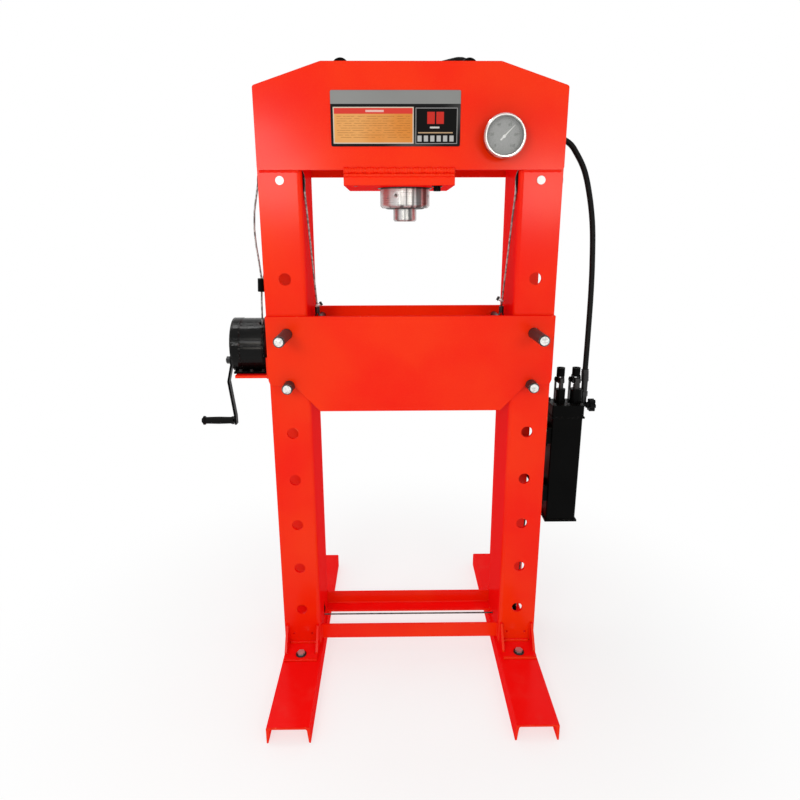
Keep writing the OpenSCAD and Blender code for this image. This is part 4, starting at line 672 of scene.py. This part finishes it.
# The cylinder: a dark forged barrel in the crown with a bright turned ring nut below, and the ground
# ram that comes out of it through a dark wiper ring. Turning marks run round both.
steel_finish, steel_shader, steel_place = new_finish("turned_steel", Metallic=0.7, Specular_IOR_Level=0.2)
steel_z = steel_place.parts()[2]
cuts = steel_z.maths("SINE", steel_z * 5200) * 0.5 + 0.5
bands = steel_place.stretched((2.0, 2.0, 60.0)).noise(6, 4, 0.6)
oil = steel_place.noise(24, 4, 0.6).rise(0.5, 0.75)
# Dark streaks running down the collar and ram are painted reflection.
runs = steel_place.stretched((44.0, 44.0, 1.2)).noise(1, 3, 0.6)
turned_tone = bands.tint((0.42, 0.42, 0.42, 1), (0.65, 0.65, 0.64, 1))
(runs.rise(0.48, 0.59) * 0.82).tint(turned_tone, (0.06, 0.06, 0.06, 1)).into(steel_shader, "Base Color")
(0.22 + 0.14 * bands + 0.08 * oil).into(steel_shader, "Roughness")
steel_round = steel_place.node("ShaderNodeBevel", {"samples": 6}, {"Radius": 0.006})
(cuts + bands).relief(steel_shader, strength=0.2, depth=0.0002, Normal=steel_round)
dress(steel_finish, "cylinder_collar", "ram")
ram_x = -0.013
# A thin dark ring between the nut and the plate above it is painted shadow in the gap.
gap_shadow_ring = turned(
    "gap_shadow_ring", [(0, 0.0695), (0, 0.0755), (0.0012, 0.0755), (0.0012, 0.0695)],
    (ram_x, 0, 1.4528), (0, 0, 1), dark_finish, "frame", steps=72,
)
wiper_ring = turned(
    "wiper_ring", [(0, 0.0345), (0, 0.0500), (0.0015, 0.0545), (0.0030, 0.0545), (0.0030, 0.0345)],
    (ram_x, 0, 1.3983), (0, 0, 1), dark_finish, "frame", steps=64,
)
dress(dark_finish, "cylinder_barrel", "hose_fittings")


# The return spring: a coil of round spring wire round the ram, inside the barrel. It stands on the
# gland and carries the piston. In the press it closes up as the ram comes down; this coil is drawn at one
# length.
coil_foot, coil_head = Vector((ram_x, 0, 1.444)), Vector((ram_x, 0, 1.686))
coil_r, coil_wire, coil_steps = 0.0375, 0.0065, 24 * 8
coil_line = []
for step in range(coil_steps + 1):
    around = math.tau * step / 24
    out = Vector((math.cos(around), math.sin(around), 0)) * coil_r
    coil_line.append(coil_foot.lerp(coil_head, step / coil_steps) + out)
coil_mesh = bmesh.new()
sweep(coil_mesh, coil_line, coil_wire, sides=10)
spring_coil = keep_piece("return_spring_coil", coil_mesh, dark_finish, None)
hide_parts("return_spring")
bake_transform(spring_coil)


# The bed: two deep flame-cut plates held apart by welded spacers, resting on the lower pins and
# located by the upper ones. Painted with the frame, and a little worn along the top edges.
dress(red_finish, "bed_front_plate", "bed_rear_plate", "bed_spacers")
bead_mesh = bmesh.new()
for x in (-0.215, 0.215):
    for face in (-1, 1):
        for offset in (-0.0065, 0.0065):
            lay_beads(bead_mesh, [
                ((x + offset, face * 0.1115, 0.884), (x + offset, face * 0.1115, 1.066), 0.007),
            ])
bed_welds = keep_piece("bed_welds", bead_mesh, red_finish, "bed")


# The height pins: round bars of oiled steel, worn bright on the end faces where they are knocked in,
# with a chamfer to find the holes.
pin_finish, pin_shader, pin_place = new_finish("pin_steel", Metallic=0.25, Specular_IOR_Level=0.25)
pin_tone = pin_place.noise(40, 5, 0.65)
scratches = pin_place.stretched((60.0, 3.0, 60.0)).noise(12, 4, 0.7)
oiled = (pin_tone * 0.5 + scratches * 0.5).tint((0.008, 0.008, 0.008, 1), (0.055, 0.055, 0.054, 1))
oiled.into(pin_shader, "Base Color")
(0.34 + 0.2 * pin_tone).into(pin_shader, "Roughness")
scratches.relief(pin_shader, strength=0.12, depth=0.0003)
dress(pin_finish, "upper_left_pin", "upper_right_pin", "lower_left_pin", "lower_right_pin")
worn_finish, worn_shader, worn_place = new_finish("worn_steel", Metallic=0.6)
wear = worn_place.noise(150, 5, 0.65)
wear.rise(0.3, 0.6).tint((0.36, 0.36, 0.35, 1), (0.80, 0.80, 0.79, 1)).into(worn_shader, "Base Color")
(0.42 + 0.2 * wear).into(worn_shader, "Roughness")
worn_end = [(0, 0), (0, 0.006), (0, 0.0117), (0.0005, 0.0121), (0.0030, 0.0148)]
for name, x, y, z in (
    ("upper_left_pin", -post_x, -0.253, 1.0655), ("upper_right_pin", post_x, -0.253, 1.0655),
    ("lower_left_pin", -post_x, -0.170, 0.918), ("lower_right_pin", post_x, -0.170, 0.918),
):
    face_cap = turned(f"{name}_end", worn_end, (x, y - 0.0002, z), (0, 1, 0), worn_finish, name)


# The foot bolts: plated steel bolts that hold the welded shoes of the posts down on the feet, each
# with a dark flat washer under its head.
zinc_finish, zinc_shader, zinc_place = new_finish("zinc_plate", Metallic=0.8)
cloudy = zinc_place.noise(38, 4, 0.6)
spots = zinc_place.noise(260, 3)
cloudy.tint((0.40, 0.41, 0.42, 1), (0.66, 0.66, 0.65, 1)).into(zinc_shader, "Base Color")
(0.30 + 0.22 * cloudy).into(zinc_shader, "Roughness")
spots.relief(zinc_shader, strength=0.15, depth=0.0003)
dress(zinc_finish, "shoe_bolts")
washer_outline = [(0, 0.0085), (0, 0.0165), (0.0022, 0.0165), (0.0028, 0.0158), (0.0028, 0.0085)]
shoe_bolt_y, shoe_top_z = 0.168, 0.059
for number, (side, face) in enumerate(((-1, -1), (1, -1), (-1, 1), (1, 1))):
    washer = turned(
        f"shoe_washer_{number}", washer_outline, (side * post_x, face * shoe_bolt_y, shoe_top_z), (0, 0, 1),
        dark_finish, "frame",
    )


# The rope lift: cast sheaves on plated steel axles in the posts, rope eyes round bars in the bed,
# black clips that join the cross rope to the winch rope, and a plated saddle clamp on each fall.
dress(zinc_finish, "sheave_axles")
dress(black_finish, "left_lift_sheave", "right_lift_sheave", "guide_sheave")
dress(black_finish, "left_bottom_sheave", "right_bottom_sheave")
dress(dark_finish, "bed_rope_eyes")
dress(black_finish, "rope_clips")
for side, name in ((-1, "left"), (1, "right")):
    saddle_mesh = bmesh.new()
    bmesh.ops.create_cube(saddle_mesh, size=1, matrix=Matrix.Diagonal((0.016, 0.011, 0.009, 1)))
    bmesh.ops.bevel(
        saddle_mesh, geom=saddle_mesh.edges[:], offset=0.0018, offset_type="OFFSET", segments=2, profile=0.5,
        affect="EDGES", material=-1,
    )
    spot = Matrix.Translation((side * 0.2655, -0.0215, 1.139 + side * 0.0065))
    lean = spot @ Matrix.Rotation(math.radians(side * 28), 4, "Y")
    bmesh.ops.transform(saddle_mesh, matrix=lean, verts=saddle_mesh.verts[:])
    saddle = keep_piece(f"{name}_rope_saddle", saddle_mesh, zinc_finish, "bed")
    for number, rise in enumerate((-0.0028, 0.0028)):
        seat = lean @ Vector((-side * 0.0075, -0.001, rise))
        inward = lean.to_3x3() @ Vector((-side, 0, 0))
        saddle_nut = hex_screw(
            f"{name}_saddle_nut_{number}", seat, inward, across=0.0055, height=0.005,
            finish=dark_finish, body="bed",
        )


# The winch: a pressed black cover over a geared rope drum on a bent frame, screwed to a red shelf on
# the left post. A cranked handle with a loose grip turns the pinion.
dress(red_finish, "winch_shelf")
cover_finish = black_enamel("cover_enamel", rounding=0.010, gloss=0.13, rough=0.03)
dress(cover_finish, "winch_cover")
dress(black_finish, "winch_frame", "crank_arm")
dress(dark_finish, "winch_drum", "crank_shaft")
grip_finish, grip_shader, grip_place = new_finish("grip_plastic", Specular_IOR_Level=0.06)
grip_mottle = grip_place.noise(180, 4, 0.6)
grip_mottle.tint((0.002, 0.002, 0.002, 1), (0.006, 0.006, 0.006, 1)).into(grip_shader, "Base Color")
(0.38 + 0.2 * grip_mottle).into(grip_shader, "Roughness")
grip_mottle.relief(grip_shader, strength=0.2, depth=0.0004)
dress(grip_finish, "crank_grip", "release_knob")
for number, x in enumerate((-0.490, -0.458, -0.424)):
    base_screw = hex_screw(
        f"base_screw_{number}", (x, -0.0725, 0.949), (0, 0, 1), across=0.009, height=0.005,
        finish=dark_finish, body="frame",
    )
drum_y, drum_z, winding_r, winding_pitch, winding_turns = -0.020, 1.017, 0.038, 0.0052, 7
winding = []
for step in range(24 * winding_turns + 1):
    around = math.tau * step / 24
    winding.append(Vector((
        -0.4235 - winding_pitch * step / 24, drum_y - winding_r * math.cos(around),
        drum_z + winding_r * math.sin(around),
    )))
winding_mesh = bmesh.new()
sweep(winding_mesh, winding, rope_width, sides=8)
drum_winding = keep_piece("drum_winding", winding_mesh, rope_finish, "winch_drum")


# The hand pump: a sheet-steel oil tank on a bracket on the right post, a cast head with two pump
# barrels and their levers, and a hand knob on the release valve.
dress(black_finish, "pump_bracket", "oil_tank", "pump_head", "pump_barrels", "fast_lever", "power_lever")
dress(pin_finish, "fast_piston", "power_piston")
for number, (x, y) in enumerate(((0.4255, -0.0875), (0.5045, -0.0875), (0.4255, -0.0205), (0.4655, -0.0875))):
    head_screw = hex_screw(
        f"head_screw_{number}", (x, y, 0.845), (0, 0, 1), across=0.008, height=0.005,
        finish=dark_finish, body="frame",
    )
for number, (y, z) in enumerate(((0.085, 0.565), (0.085, 0.750), (0.030, 0.565), (0.030, 0.750))):
    bracket_screw = hex_screw(
        f"bracket_screw_{number}", (0.405, y, z), (1, 0, 0), across=0.013, height=0.008,
        finish=zinc_finish, body="frame",
    )
